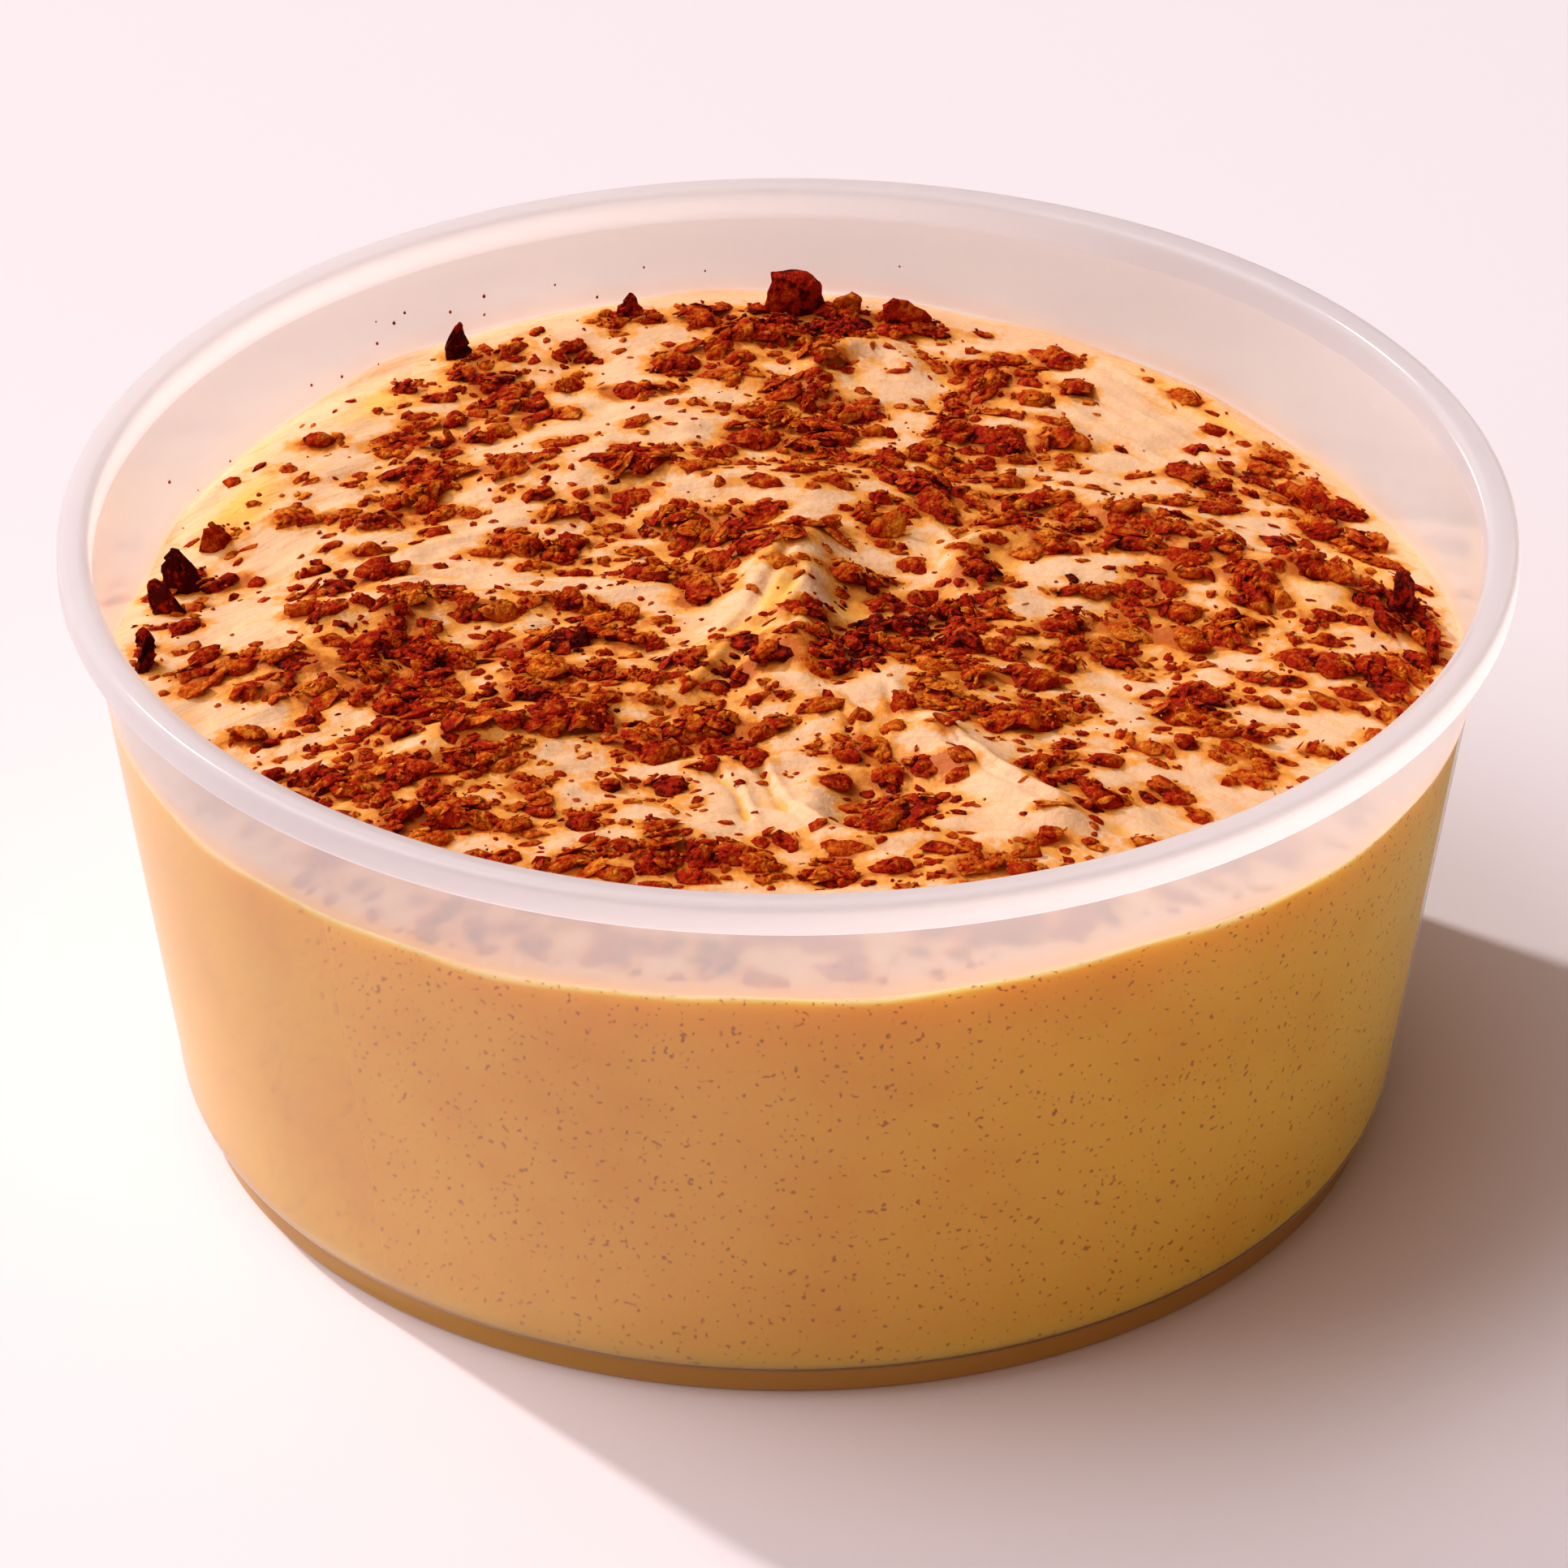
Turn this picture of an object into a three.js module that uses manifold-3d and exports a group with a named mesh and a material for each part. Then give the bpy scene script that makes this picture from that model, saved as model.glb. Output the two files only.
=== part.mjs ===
// An open round tub of mascarpone cream pudding, strewn with grated dark chocolate.
// Two solids: the moulded tub, and the cream with its flakes fused to the top.
// Millimetres, +Z up. The origin is the centre of the tub's foot on the table.
// The view of the photograph looks along +Y, so -Y is the front.

import * as THREE from "three";
import { mergeVertices } from "three/addons/utils/BufferGeometryUtils.js";
import Module from "manifold-3d";

const wasm = await Module();
wasm.setup();

// Driving dimensions of the tub
const SEGMENTS = 64;
const TUB_HEIGHT = 52;
const RIM_RADIUS = 59;
const RIM_WIDTH = 2.6;
const RIM_ROUNDING = 0.7;
const COLLAR_HEIGHT = 2.6;
const COLLAR_SKIN = 0.8;
const WALL = 0.8;
const WALL_TOP_RADIUS = 57.0;
const WALL_LOW_RADIUS = 50.3;
const CORNER_RADIUS = 4.6;
const CORNER_SWEEP = 55;
const CORNER_STEPS = 3;
const FOOT_HEIGHT = 2.0;
const FOOT_EDGE = 0.3;
const FOOT_WIDTH = 1.4;
const FLOOR_UNDERSIDE = 0.9;
const FLOOR_TOP = 1.9;

// Driving dimensions of the cream
const GAP = 0.3;
const FILL_HEIGHT = 42.2;
const TOP_RINGS = 14;
const CREAM_CORNER_STEPS = 3;
const EDGE_FLAT = 3.0;
const EDGE_CALM = 0.6;
const EDGE_BEND = 3;

// Height of the cream's edge on the wall every 30 degrees, from +X towards +Y
const EDGE_HEIGHTS = [39.8, 38.7, 40.8, 42.7, 42.4, 40.4, 40.6, 40.6, 41.0, 41.6, 42.0, 40.6];

// Where the edge dips for a short way, by its bearing and spread in degrees
const EDGE_DIP = { bearing: 167, spread: 9, depth: 2.2 };

// Driving dimensions of the grated chocolate
const FLAKE_COUNT = 180;
const FLAKE_SEED = 41;
const FLAKE_LONGEST = 6.0;
const FLAKE_SHORTEST = 2.6;
const FLAKE_SLIMNESS = [0.4, 0.7];
const FLAKE_FEWEST_SIDES = 5;
const FLAKE_CORNER_WANDER = 0.35;
const FLAKE_OUTLINE_REACH = [0.82, 1.18];
const FLAKE_CROWN_INSET = [0.62, 0.87];
const FLAKE_CROWN_RISE = [0.75, 1.15];
const FLAKE_THICKNESS = [0.9, 1.4];
const FLAKE_SUNK = 0.4;
const FLAKE_SPACING = 0.8;
const FLAKE_EDGE_CLEARANCE = 1.2;
const FLAKE_LEAN = 14;
const FLAKE_FAN = 0.8;
const FLAKE_TURN_WANDER = 38;
const FLAKE_TRIES = 6000;
const SHARD_SUNK = 1.0;
const SHARD_CROWN_SPREAD = 0.1;

// The cream's swirls: spatula ridges, curled lips, hollows and a slow swell, all in plan
const RIDGES = [
  { from: [1.4, 11.0], to: [0.8, -6.0], height: 1.9, left: 4.6, right: 2.2 },
  { from: [-1.0, 10.0], to: [-6.4, -7.0], height: 0.8, left: 2.0, right: 1.2 },
  { from: [11.5, -17.0], to: [21.5, -30.0], height: 1.2, left: 2.6, right: 2.0 },
  { from: [-38.0, 2.0], to: [-12.0, 7.0], height: 0.9, left: 2.4, right: 3.0 },
  { from: [-30.0, -19.0], to: [-8.0, -9.0], height: 0.8, left: 2.2, right: 2.8 },
  { from: [24.0, 22.0], to: [44.0, 8.0], height: 0.9, left: 3.0, right: 2.2 },
  { from: [-22.0, 26.0], to: [2.0, 22.0], height: 0.8, left: 2.4, right: 2.4 },
];
const LIPS = [
  { centre: [7.5, -27.5], radius: 5.6, middle: 235, spread: 95, height: 1.1, width: 1.8 },
  { centre: [6.5, 42.0], radius: 4.2, middle: 120, spread: 110, height: 0.9, width: 1.6 },
  { centre: [18.5, 10.5], radius: 4.6, middle: 150, spread: 100, height: 1.0, width: 1.6 },
  { centre: [42.0, 4.0], radius: 6.5, middle: 60, spread: 90, height: 0.9, width: 1.8 },
];
const HOLLOWS = [
  { centre: [7.5, -27.0], radius: 4.4, depth: 0.9 },
  { centre: [9.5, 3.0], radius: 6.5, depth: 1.2 },
  { centre: [-27.0, -4.0], radius: 9.0, depth: 0.7 },
  { centre: [30.0, -8.0], radius: 8.0, depth: 0.6 },
];
const SWELL = [
  { heading: 20, length: 37, height: 0.35, phase: 40 },
  { heading: 75, length: 29, height: 0.3, phase: 200 },
  { heading: 140, length: 21, height: 0.25, phase: 310 },
];

// Where the flakes lie thick, and where the cream stays bare: ovals by half length and half width
const THICK_PATCHES = [
  { at: [1, 48], long: 7, wide: 5.5, heading: 0 },
  { at: [11, 50], long: 3.4, wide: 2.4, heading: 0 },
  { at: [-13, 50.5], long: 3.5, wide: 2, heading: 10 },
  { at: [-26, 41], long: 5, wide: 3.4, heading: 30 },
  { at: [-20, 44], long: 3.5, wide: 2.2, heading: 20 },
  { at: [1.5, 36], long: 3.6, wide: 6, heading: 0 },
  { at: [3, 28], long: 4.5, wide: 3.5, heading: 0 },
  { at: [15, 38], long: 5, wide: 2, heading: 60 },
  { at: [14, 30], long: 4, wide: 3, heading: -20 },
  { at: [21, 31], long: 2.6, wide: 3, heading: 0 },
  { at: [-30, 24.5], long: 2.8, wide: 3.6, heading: 0 },
  { at: [-35, 18], long: 5, wide: 1.6, heading: 38 },
  { at: [-13, 25], long: 3.6, wide: 1.8, heading: 30 },
  { at: [12, 22], long: 6, wide: 3, heading: -35 },
  { at: [-9, 16], long: 6.5, wide: 4, heading: -12 },
  { at: [-18, 13.5], long: 5, wide: 2.2, heading: 20 },
  { at: [-9, 9.4], long: 9, wide: 1.3, heading: 4 },
  { at: [-18, 4.5], long: 6, wide: 2.2, heading: 10 },
  { at: [-31, 2.6], long: 7, wide: 1.6, heading: 10 },
  { at: [-31, -5.5], long: 8, wide: 4, heading: -8 },
  { at: [-26, -9.5], long: 7, wide: 2.6, heading: -8 },
  { at: [-16, -3], long: 7, wide: 4, heading: 8 },
  { at: [-17, -9], long: 7, wide: 2.8, heading: 10 },
  { at: [-28, -14], long: 7, wide: 2.4, heading: -18 },
  { at: [-10, -16.5], long: 6, wide: 3.6, heading: 8 },
  { at: [-20, -19], long: 5, wide: 2, heading: 5 },
  { at: [-30, -23], long: 8, wide: 3.2, heading: 5 },
  { at: [-26, -29], long: 5.5, wide: 2.6, heading: -15 },
  { at: [-8, -36], long: 6, wide: 2.2, heading: 0 },
  { at: [-5, 8], long: 3, wide: 1.6, heading: 60 },
  { at: [5.5, 6], long: 4.5, wide: 3.2, heading: -40 },
  { at: [11.5, 0.5], long: 5, wide: 5, heading: -50 },
  { at: [4, -5.5], long: 4.6, wide: 3, heading: -40 },
  { at: [-4, -8], long: 3.4, wide: 1.6, heading: 10 },
  { at: [15, 6], long: 3.4, wide: 3, heading: -30 },
  { at: [14.5, -13], long: 5, wide: 4, heading: -45 },
  { at: [9, -20], long: 3.6, wide: 2.4, heading: -50 },
  { at: [9.5, -28], long: 2.8, wide: 3.6, heading: 0 },
  { at: [14.5, -37], long: 5, wide: 1.6, heading: 5 },
  { at: [2, -38.5], long: 4, wide: 1.4, heading: 0 },
  { at: [21, 17], long: 8, wide: 2.8, heading: -12 },
  { at: [31, 15], long: 6.5, wide: 2.2, heading: -28 },
  { at: [28, 5], long: 5, wide: 3.4, heading: -30 },
  { at: [24, -2], long: 3, wide: 2.6, heading: 0 },
  { at: [33, 2], long: 4, wide: 2.2, heading: -40 },
  { at: [36.5, 9], long: 3.4, wide: 1.8, heading: -55 },
  { at: [33.5, -11.5], long: 4, wide: 3.6, heading: -60 },
  { at: [43, 25.5], long: 5.5, wide: 2.6, heading: -52 },
  { at: [34.5, 25.5], long: 3, wide: 2.4, heading: -10 },
  { at: [50, 4.5], long: 3.4, wide: 5.5, heading: 0 },
  { at: [48.5, -4], long: 3, wide: 2.4, heading: 0 },
  { at: [20.5, -22], long: 3.4, wide: 1.8, heading: 70 },
  { at: [21, -14], long: 3.5, wide: 2.5, heading: -40 },
];
const BARE_PATCHES = [
  { at: [31, 38], long: 10, wide: 5, heading: -48 },
  { at: [27.5, 26], long: 5, wide: 2.2, heading: -65 },
  { at: [18, 48.5], long: 4, wide: 3, heading: -20 },
  { at: [-41, 31], long: 7, wide: 4, heading: 50 },
  { at: [-42, 14], long: 6, wide: 4.5, heading: 60 },
  { at: [-33, 11], long: 7, wide: 3.4, heading: 15 },
  { at: [-26, 9], long: 4, wide: 2.2, heading: 0 },
  { at: [-43, 2], long: 3, wide: 4, heading: 0 },
  { at: [-11, 31], long: 4.5, wide: 1.8, heading: 5 },
  { at: [-16, 37], long: 3.6, wide: 4, heading: 0 },
  { at: [-4, 1], long: 6.5, wide: 3, heading: 68 },
  { at: [3.5, 16], long: 5.5, wide: 3, heading: -35 },
  { at: [7.5, 41], long: 3.4, wide: 2.8, heading: 0 },
  { at: [-2, -27], long: 5, wide: 5.5, heading: 0 },
  { at: [16, -22.5], long: 7, wide: 2.4, heading: -54 },
  { at: [27, -31], long: 6, wide: 3, heading: 30 },
  { at: [38, -26], long: 5, wide: 4, heading: 0 },
  { at: [44, -15], long: 4, wide: 3, heading: 60 },
  { at: [41, 14], long: 4, wide: 3.4, heading: -40 },
  { at: [24, 9.5], long: 3, wide: 1.6, heading: 0 },
  { at: [-47, -12], long: 4, wide: 3, heading: -60 },
  { at: [5.5, -12], long: 3, wide: 2, heading: -45 },
];
const DENSITY_BASE = 0.3;
const BARE_SHARE = 0.94;

// The few shards that stand up out of the cream near the wall
const STANDING_SHARDS = [
  { at: [0.3, 52.0], heading: 2, length: 5.2, width: 2.6, height: 3.2, crown: 0.7, tip: 0 },
  { at: [4.9, 51.8], heading: 10, length: 3.2, width: 1.5, height: 1.7, crown: 0.5, tip: 0.1 },
  { at: [10.7, 50.6], heading: -6, length: 4.8, width: 1.7, height: 2.6, crown: 0.3, tip: -0.25 },
  { at: [-48.9, 11.2], heading: 8, length: 4.2, width: 1.7, height: 3.4, crown: 0.3, tip: -0.35 },
  { at: [-50.3, 6.2], heading: -20, length: 3.6, width: 1.4, height: 2.7, crown: 0.3, tip: -0.35 },
  { at: [-52.0, -0.2], heading: -30, length: 2.4, width: 1.2, height: 1.8, crown: 0.35, tip: -0.2 },
  { at: [-51.9, -4.0], heading: 60, length: 2.6, width: 1.3, height: 2.6, crown: 0.3, tip: 0.2 },
  { at: [-46.7, 17.4], heading: 20, length: 3.0, width: 1.4, height: 1.9, crown: 0.35, tip: -0.2 },
  { at: [-28.0, 45.2], heading: 25, length: 3.0, width: 1.5, height: 2.4, crown: 0.3, tip: 0 },
  { at: [-13.5, 50.6], heading: 0, length: 2.2, width: 1.3, height: 1.8, crown: 0.5, tip: 0 },
  { at: [50.0, 5.4], heading: 80, length: 3.4, width: 1.8, height: 3.4, crown: 0.6, tip: 0 },
  { at: [52.3, -0.4], heading: 94, length: 5.6, width: 0.9, height: 1.5, crown: 0.6, tip: 0 },
  { at: [43.2, 24.2], heading: -48, length: 8.0, width: 1.7, height: 1.8, crown: 0.6, tip: 0 },
];

const CORNER_TURN = THREE.MathUtils.degToRad(CORNER_SWEEP);
const WALL_LOW_HEIGHT = FOOT_HEIGHT + CORNER_RADIUS * Math.sin(CORNER_TURN);
const FOOT_RADIUS = WALL_LOW_RADIUS - CORNER_RADIUS * (1 - Math.cos(CORNER_TURN));
const WALL_TOP_HEIGHT = TUB_HEIGHT - COLLAR_HEIGHT;
const WALL_SLOPE = (WALL_TOP_RADIUS - WALL_LOW_RADIUS) / (WALL_TOP_HEIGHT - WALL_LOW_HEIGHT);
const INNER_CORNER = CORNER_RADIUS - WALL;

function material(name, color, roughness, opacity = 1) {
  const made = new THREE.MeshStandardMaterial({ color, roughness, metalness: 0 });
  made.name = name;
  made.opacity = opacity;
  made.transparent = opacity < 1;
  return made;
}

function frostedPlastic() {
  return material("frosted_polypropylene", 0xe6e0ea, 0.38, 0.45);
}

function cream() {
  return material("mascarpone_cream", 0xf9dcae, 0.6);
}

// A repeatable stream of numbers from 0 to 1
function seeded(seed) {
  const [factor, step, whole] = [1664525, 1013904223, 2 ** 32];
  let state = seed;
  return () => {
    state = (Math.imul(state, factor) + step) >>> 0;
    return state / whole;
  };
}

function between(random, [low, high]) {
  return low + (high - low) * random();
}

function outerWallRadius(height) {
  return WALL_LOW_RADIUS + WALL_SLOPE * (height - WALL_LOW_HEIGHT);
}

function innerWallRadius(height) {
  return outerWallRadius(height) - WALL;
}

// Points of an arc in the profile plane, from one angle to another in degrees
function arc(centreRadius, centreHeight, radius, startAngle, endAngle, steps) {
  return Array.from({ length: steps + 1 }, (_, step) => {
    const angle = THREE.MathUtils.degToRad(startAngle + ((endAngle - startAngle) * step) / steps);
    const across = centreRadius + radius * Math.cos(angle);
    const up = centreHeight + radius * Math.sin(angle);
    return new THREE.Vector2(across, up);
  });
}

function underside() {
  const footInside = FOOT_RADIUS - FOOT_WIDTH;
  return [
    new THREE.Vector2(0, FLOOR_UNDERSIDE),
    new THREE.Vector2(footInside, FLOOR_UNDERSIDE),
    new THREE.Vector2(footInside, 0),
    new THREE.Vector2(FOOT_RADIUS - FOOT_EDGE, 0),
    new THREE.Vector2(FOOT_RADIUS, FOOT_EDGE),
  ];
}

function outside() {
  const cornerCentre = WALL_LOW_RADIUS - CORNER_RADIUS;
  return [
    ...arc(cornerCentre, WALL_LOW_HEIGHT, CORNER_RADIUS, -CORNER_SWEEP, 0, CORNER_STEPS),
    new THREE.Vector2(WALL_TOP_RADIUS, WALL_TOP_HEIGHT),
  ];
}

// The collar hangs as a thin skirt from the rim, with an open groove between it and the wall
function rimAndCollar() {
  const grooveTop = TUB_HEIGHT - COLLAR_SKIN;
  const grooveOutside = RIM_RADIUS - COLLAR_SKIN;
  const innerRim = RIM_RADIUS - RIM_WIDTH;
  return [
    new THREE.Vector2(WALL_TOP_RADIUS, grooveTop),
    new THREE.Vector2(grooveOutside, grooveTop),
    new THREE.Vector2(grooveOutside, WALL_TOP_HEIGHT),
    new THREE.Vector2(RIM_RADIUS, WALL_TOP_HEIGHT),
    ...arc(RIM_RADIUS - RIM_ROUNDING, TUB_HEIGHT - RIM_ROUNDING, RIM_ROUNDING, 0, 90, 2),
    ...arc(innerRim + RIM_ROUNDING, TUB_HEIGHT - RIM_ROUNDING, RIM_ROUNDING, 90, 180, 2),
  ];
}

function inside() {
  const cornerHeight = FLOOR_TOP + INNER_CORNER;
  const cornerCentre = innerWallRadius(cornerHeight) - INNER_CORNER;
  return [
    new THREE.Vector2(innerWallRadius(WALL_TOP_HEIGHT), WALL_TOP_HEIGHT),
    ...arc(cornerCentre, cornerHeight, INNER_CORNER, 0, -90, CORNER_STEPS),
    new THREE.Vector2(0, FLOOR_TOP),
  ];
}

function tub() {
  const profile = [...underside(), ...outside(), ...rimAndCollar(), ...inside()];
  const geometry = new THREE.LatheGeometry(profile, SEGMENTS);
  geometry.rotateX(Math.PI / 2);
  const mesh = new THREE.Mesh(geometry, frostedPlastic());
  mesh.name = "tub";
  return mesh;
}

// A smooth bump: 1 at the middle, fading to nothing at about twice the width
function bell(share) {
  return Math.exp(-share * share);
}

// Height of one straight ridge over the plan point; its two flanks may differ in width
function ridgeHeight({ from, to, height, left, right }, x, y) {
  const along = [to[0] - from[0], to[1] - from[1]];
  const length = Math.hypot(...along);
  const unit = [along[0] / length, along[1] / length];
  const reach = (x - from[0]) * unit[0] + (y - from[1]) * unit[1];
  const side = (x - from[0]) * unit[1] - (y - from[1]) * unit[0];
  const beyond = Math.max(0, -reach, reach - length);
  const flank = side > 0 ? left : right;
  return height * bell(side / flank) * bell(beyond / left);
}

// Height of a curled lip: part of a ring that fades out at both ends
function lipHeight({ centre, radius, middle, spread, height, width }, x, y) {
  const [dx, dy] = [x - centre[0], y - centre[1]];
  const off = (Math.hypot(dx, dy) - radius) / width;
  const bearing = THREE.MathUtils.radToDeg(Math.atan2(dy, dx));
  const turn = (((bearing - middle) % 360) + 540) % 360 - 180;
  return height * bell(off) * bell((turn / spread) ** 2);
}

function hollowDepth({ centre, radius, depth }, x, y) {
  return depth * bell(Math.hypot(x - centre[0], y - centre[1]) / radius);
}

function swellHeight({ heading, length, height, phase }, x, y) {
  const direction = THREE.MathUtils.degToRad(heading);
  const travel = x * Math.cos(direction) + y * Math.sin(direction);
  return height * Math.sin((2 * Math.PI * travel) / length + THREE.MathUtils.degToRad(phase));
}

function total(list, heightOf, x, y) {
  return list.reduce((sum, feature) => sum + heightOf(feature, x, y), 0);
}

// Height of the cream's edge at a bearing, eased from each listed height to the next
function edgeHeight(x, y) {
  const bearing = THREE.MathUtils.radToDeg(Math.atan2(y, x));
  const place = (((bearing + 360) % 360) * EDGE_HEIGHTS.length) / 360;
  const low = Math.floor(place) % EDGE_HEIGHTS.length;
  const high = (low + 1) % EDGE_HEIGHTS.length;
  const share = THREE.MathUtils.smoothstep(place - low, 0, 1);
  const off = ((bearing - EDGE_DIP.bearing + 540) % 360) - 180;
  const dip = EDGE_DIP.depth * bell(off / EDGE_DIP.spread);
  return THREE.MathUtils.lerp(EDGE_HEIGHTS[low], EDGE_HEIGHTS[high], share) - dip;
}

// Height of the cream's top above the table at a plan point
function creamTop(x, y) {
  const wallRadius = innerWallRadius(FILL_HEIGHT) - GAP;
  const radius = Math.hypot(x, y);
  const outward = Math.min(1, radius / wallRadius) ** EDGE_BEND;
  const ease = THREE.MathUtils.smoothstep(wallRadius - radius, -EDGE_FLAT, EDGE_FLAT);
  const marks = total(RIDGES, ridgeHeight, x, y) + total(LIPS, lipHeight, x, y);
  const dips = total(HOLLOWS, hollowDepth, x, y);
  const swell = total(SWELL, swellHeight, x, y) * (1 - EDGE_CALM * outward);
  const level = THREE.MathUtils.lerp(FILL_HEIGHT, edgeHeight(x, y), outward);
  return level + swell + ease * (marks - dips);
}

// The ring of plan points at a radius, with the height that a rule gives each
function ring(radius, heightAt) {
  return Array.from({ length: SEGMENTS }, (_, step) => {
    const angle = (2 * Math.PI * step) / SEGMENTS;
    const x = radius * Math.sin(angle);
    const y = -radius * Math.cos(angle);
    return [x, y, heightAt(x, y)];
  });
}

// A ring of the top, at a share of the way from the middle to the sloping wall
function topRing(share) {
  const level = innerWallRadius(FILL_HEIGHT) - GAP;
  return ring(level, creamTop).map(([x, y, height]) => {
    const scale = (share * (innerWallRadius(height) - GAP)) / level;
    return [x * scale, y * scale, creamTop(x * scale, y * scale)];
  });
}

// A closed skin over rings of points, with one point closing each end
function skin(firstPoint, rings, lastPoint) {
  const points = [firstPoint, ...rings.flat(), lastPoint];
  const last = points.length - 1;
  const faces = [];
  const at = (level, step) => 1 + level * SEGMENTS + (step % SEGMENTS);
  for (let step = 0; step < SEGMENTS; step += 1) {
    faces.push(0, at(0, step + 1), at(0, step));
    faces.push(last, at(rings.length - 1, step), at(rings.length - 1, step + 1));
    for (let level = 0; level + 1 < rings.length; level += 1) {
      faces.push(at(level, step), at(level, step + 1), at(level + 1, step + 1));
      faces.push(at(level, step), at(level + 1, step + 1), at(level + 1, step));
    }
  }
  return closedGeometry(points, faces);
}

function closedGeometry(points, faces) {
  const geometry = new THREE.BufferGeometry();
  geometry.setAttribute("position", new THREE.Float32BufferAttribute(points.flat(), 3));
  geometry.setIndex(faces);
  return geometry;
}

// The cream fills the tub down to its rounded inner corner
function creamBody() {
  const floor = FLOOR_TOP + GAP;
  const cornerRadius = INNER_CORNER - GAP;
  const cornerHeight = floor + cornerRadius;
  const cornerCentre = innerWallRadius(cornerHeight) - GAP - cornerRadius;
  const corner = arc(cornerCentre, cornerHeight, cornerRadius, -90, 0, CREAM_CORNER_STEPS);
  const lowRings = corner.map((point) => ring(point.x, () => point.y));
  const topRings = Array.from({ length: TOP_RINGS }, (_, index) => {
    return topRing((TOP_RINGS - index) / TOP_RINGS);
  });
  return skin([0, 0, floor], [...lowRings, ...topRings], [0, 0, creamTop(0, 0)]);
}

// One flake: a low block on an uneven outline, narrower above than below
function flakeGeometry(random, length, width, thickness, crownInset, tip) {
  const sides = FLAKE_FEWEST_SIDES + Math.round(random());
  const outline = Array.from({ length: sides }, (_, side) => {
    const wander = FLAKE_CORNER_WANDER * (random() - 0.5);
    const angle = (2 * Math.PI * (side + wander)) / sides;
    const reach = between(random, FLAKE_OUTLINE_REACH) / 2;
    return [length * reach * Math.cos(angle), width * reach * Math.sin(angle)];
  });
  const foot = outline.map(([x, y]) => [x, y, 0]);
  const crown = outline.map(([x, y]) => {
    const inset = between(random, crownInset);
    return [x * inset + tip * length, y * inset, thickness * between(random, FLAKE_CROWN_RISE)];
  });
  const faces = [];
  for (let side = 0; side < sides; side += 1) {
    const next = (side + 1) % sides;
    faces.push(side, next, sides + next);
    faces.push(side, sides + next, sides + side);
  }
  for (let side = 1; side + 1 < sides; side += 1) {
    faces.push(0, side + 1, side);
    faces.push(sides, sides + side, sides + side + 1);
  }
  return closedGeometry([...foot, ...crown], faces);
}

// How far inside an oval patch a plan point lies: 1 at its middle, fading out beyond its edge
function within({ at, long, wide, heading }, x, y) {
  const [dx, dy] = [x - at[0], y - at[1]];
  const turn = THREE.MathUtils.degToRad(heading);
  const along = dx * Math.cos(turn) + dy * Math.sin(turn);
  const across = dy * Math.cos(turn) - dx * Math.sin(turn);
  return bell(Math.hypot(along / long, across / wide));
}

function density(x, y) {
  const thick = Math.max(...THICK_PATCHES.map((patch) => within(patch, x, y)));
  const bare = Math.max(...BARE_PATCHES.map((patch) => within(patch, x, y)));
  return THREE.MathUtils.lerp(DENSITY_BASE, 1, thick) * (1 - BARE_SHARE * bare);
}

// Largest first: a spot is kept if chance allows it there and no placed flake is too near
function flakePlaces(random) {
  const places = [];
  const reach = innerWallRadius(Math.min(...EDGE_HEIGHTS)) - GAP - FLAKE_EDGE_CLEARANCE;
  for (let tries = 0; places.length < FLAKE_COUNT && tries < FLAKE_TRIES; tries += 1) {
    const share = places.length / FLAKE_COUNT;
    const length = THREE.MathUtils.lerp(FLAKE_LONGEST, FLAKE_SHORTEST, Math.sqrt(share));
    const radius = (reach - length / 2) * Math.sqrt(random());
    const angle = 2 * Math.PI * random();
    const [x, y] = [radius * Math.cos(angle), radius * Math.sin(angle)];
    const allowed = random() < density(x, y);
    const crowded = places.some((other) => {
      const apart = Math.hypot(other.x - x, other.y - y);
      return apart < FLAKE_SPACING * 0.5 * (other.length + length);
    });
    if (allowed && !crowded) {
      places.push({ x, y, length });
    }
  }
  return places;
}

function placed(geometry, x, y, z, heading, lean) {
  geometry.rotateX(THREE.MathUtils.degToRad(lean));
  geometry.rotateZ(THREE.MathUtils.degToRad(heading));
  geometry.translate(x, y, z);
  return geometry;
}

function lyingFlake(random, { x, y, length }) {
  const width = length * between(random, FLAKE_SLIMNESS);
  const thickness = between(random, FLAKE_THICKNESS);
  const geometry = flakeGeometry(random, length, width, thickness, FLAKE_CROWN_INSET, 0);
  const heading = FLAKE_TURN_WANDER * (2 * random() - 1) - FLAKE_FAN * x;
  const lean = FLAKE_LEAN * (2 * random() - 1);
  return placed(geometry, x, y, creamTop(x, y) - FLAKE_SUNK * thickness, heading, lean);
}

function standingShard(random, { at, heading, length, width, height, crown, tip }) {
  const [x, y] = at;
  const inset = [crown - SHARD_CROWN_SPREAD, crown + SHARD_CROWN_SPREAD];
  const geometry = flakeGeometry(random, length, width, height + SHARD_SUNK, inset, tip);
  return placed(geometry, x, y, creamTop(x, y) - SHARD_SUNK, heading, 0);
}

// A closed geometry as a solid that can be joined to another
function solidOf(geometry) {
  const bare = geometry.clone();
  bare.deleteAttribute("normal");
  bare.deleteAttribute("uv");
  const merged = mergeVertices(bare);
  const vertProperties = new Float32Array(merged.attributes.position.array);
  const triVerts = new Uint32Array(merged.index.array);
  return new wasm.Manifold(new wasm.Mesh({ numProp: 3, vertProperties, triVerts }));
}

function geometryOf(solid) {
  const { vertProperties, triVerts } = solid.getMesh();
  const geometry = new THREE.BufferGeometry();
  geometry.setAttribute("position", new THREE.BufferAttribute(new Float32Array(vertProperties), 3));
  geometry.setIndex(new THREE.BufferAttribute(new Uint32Array(triVerts), 1));
  geometry.computeVertexNormals();
  return geometry;
}

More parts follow.
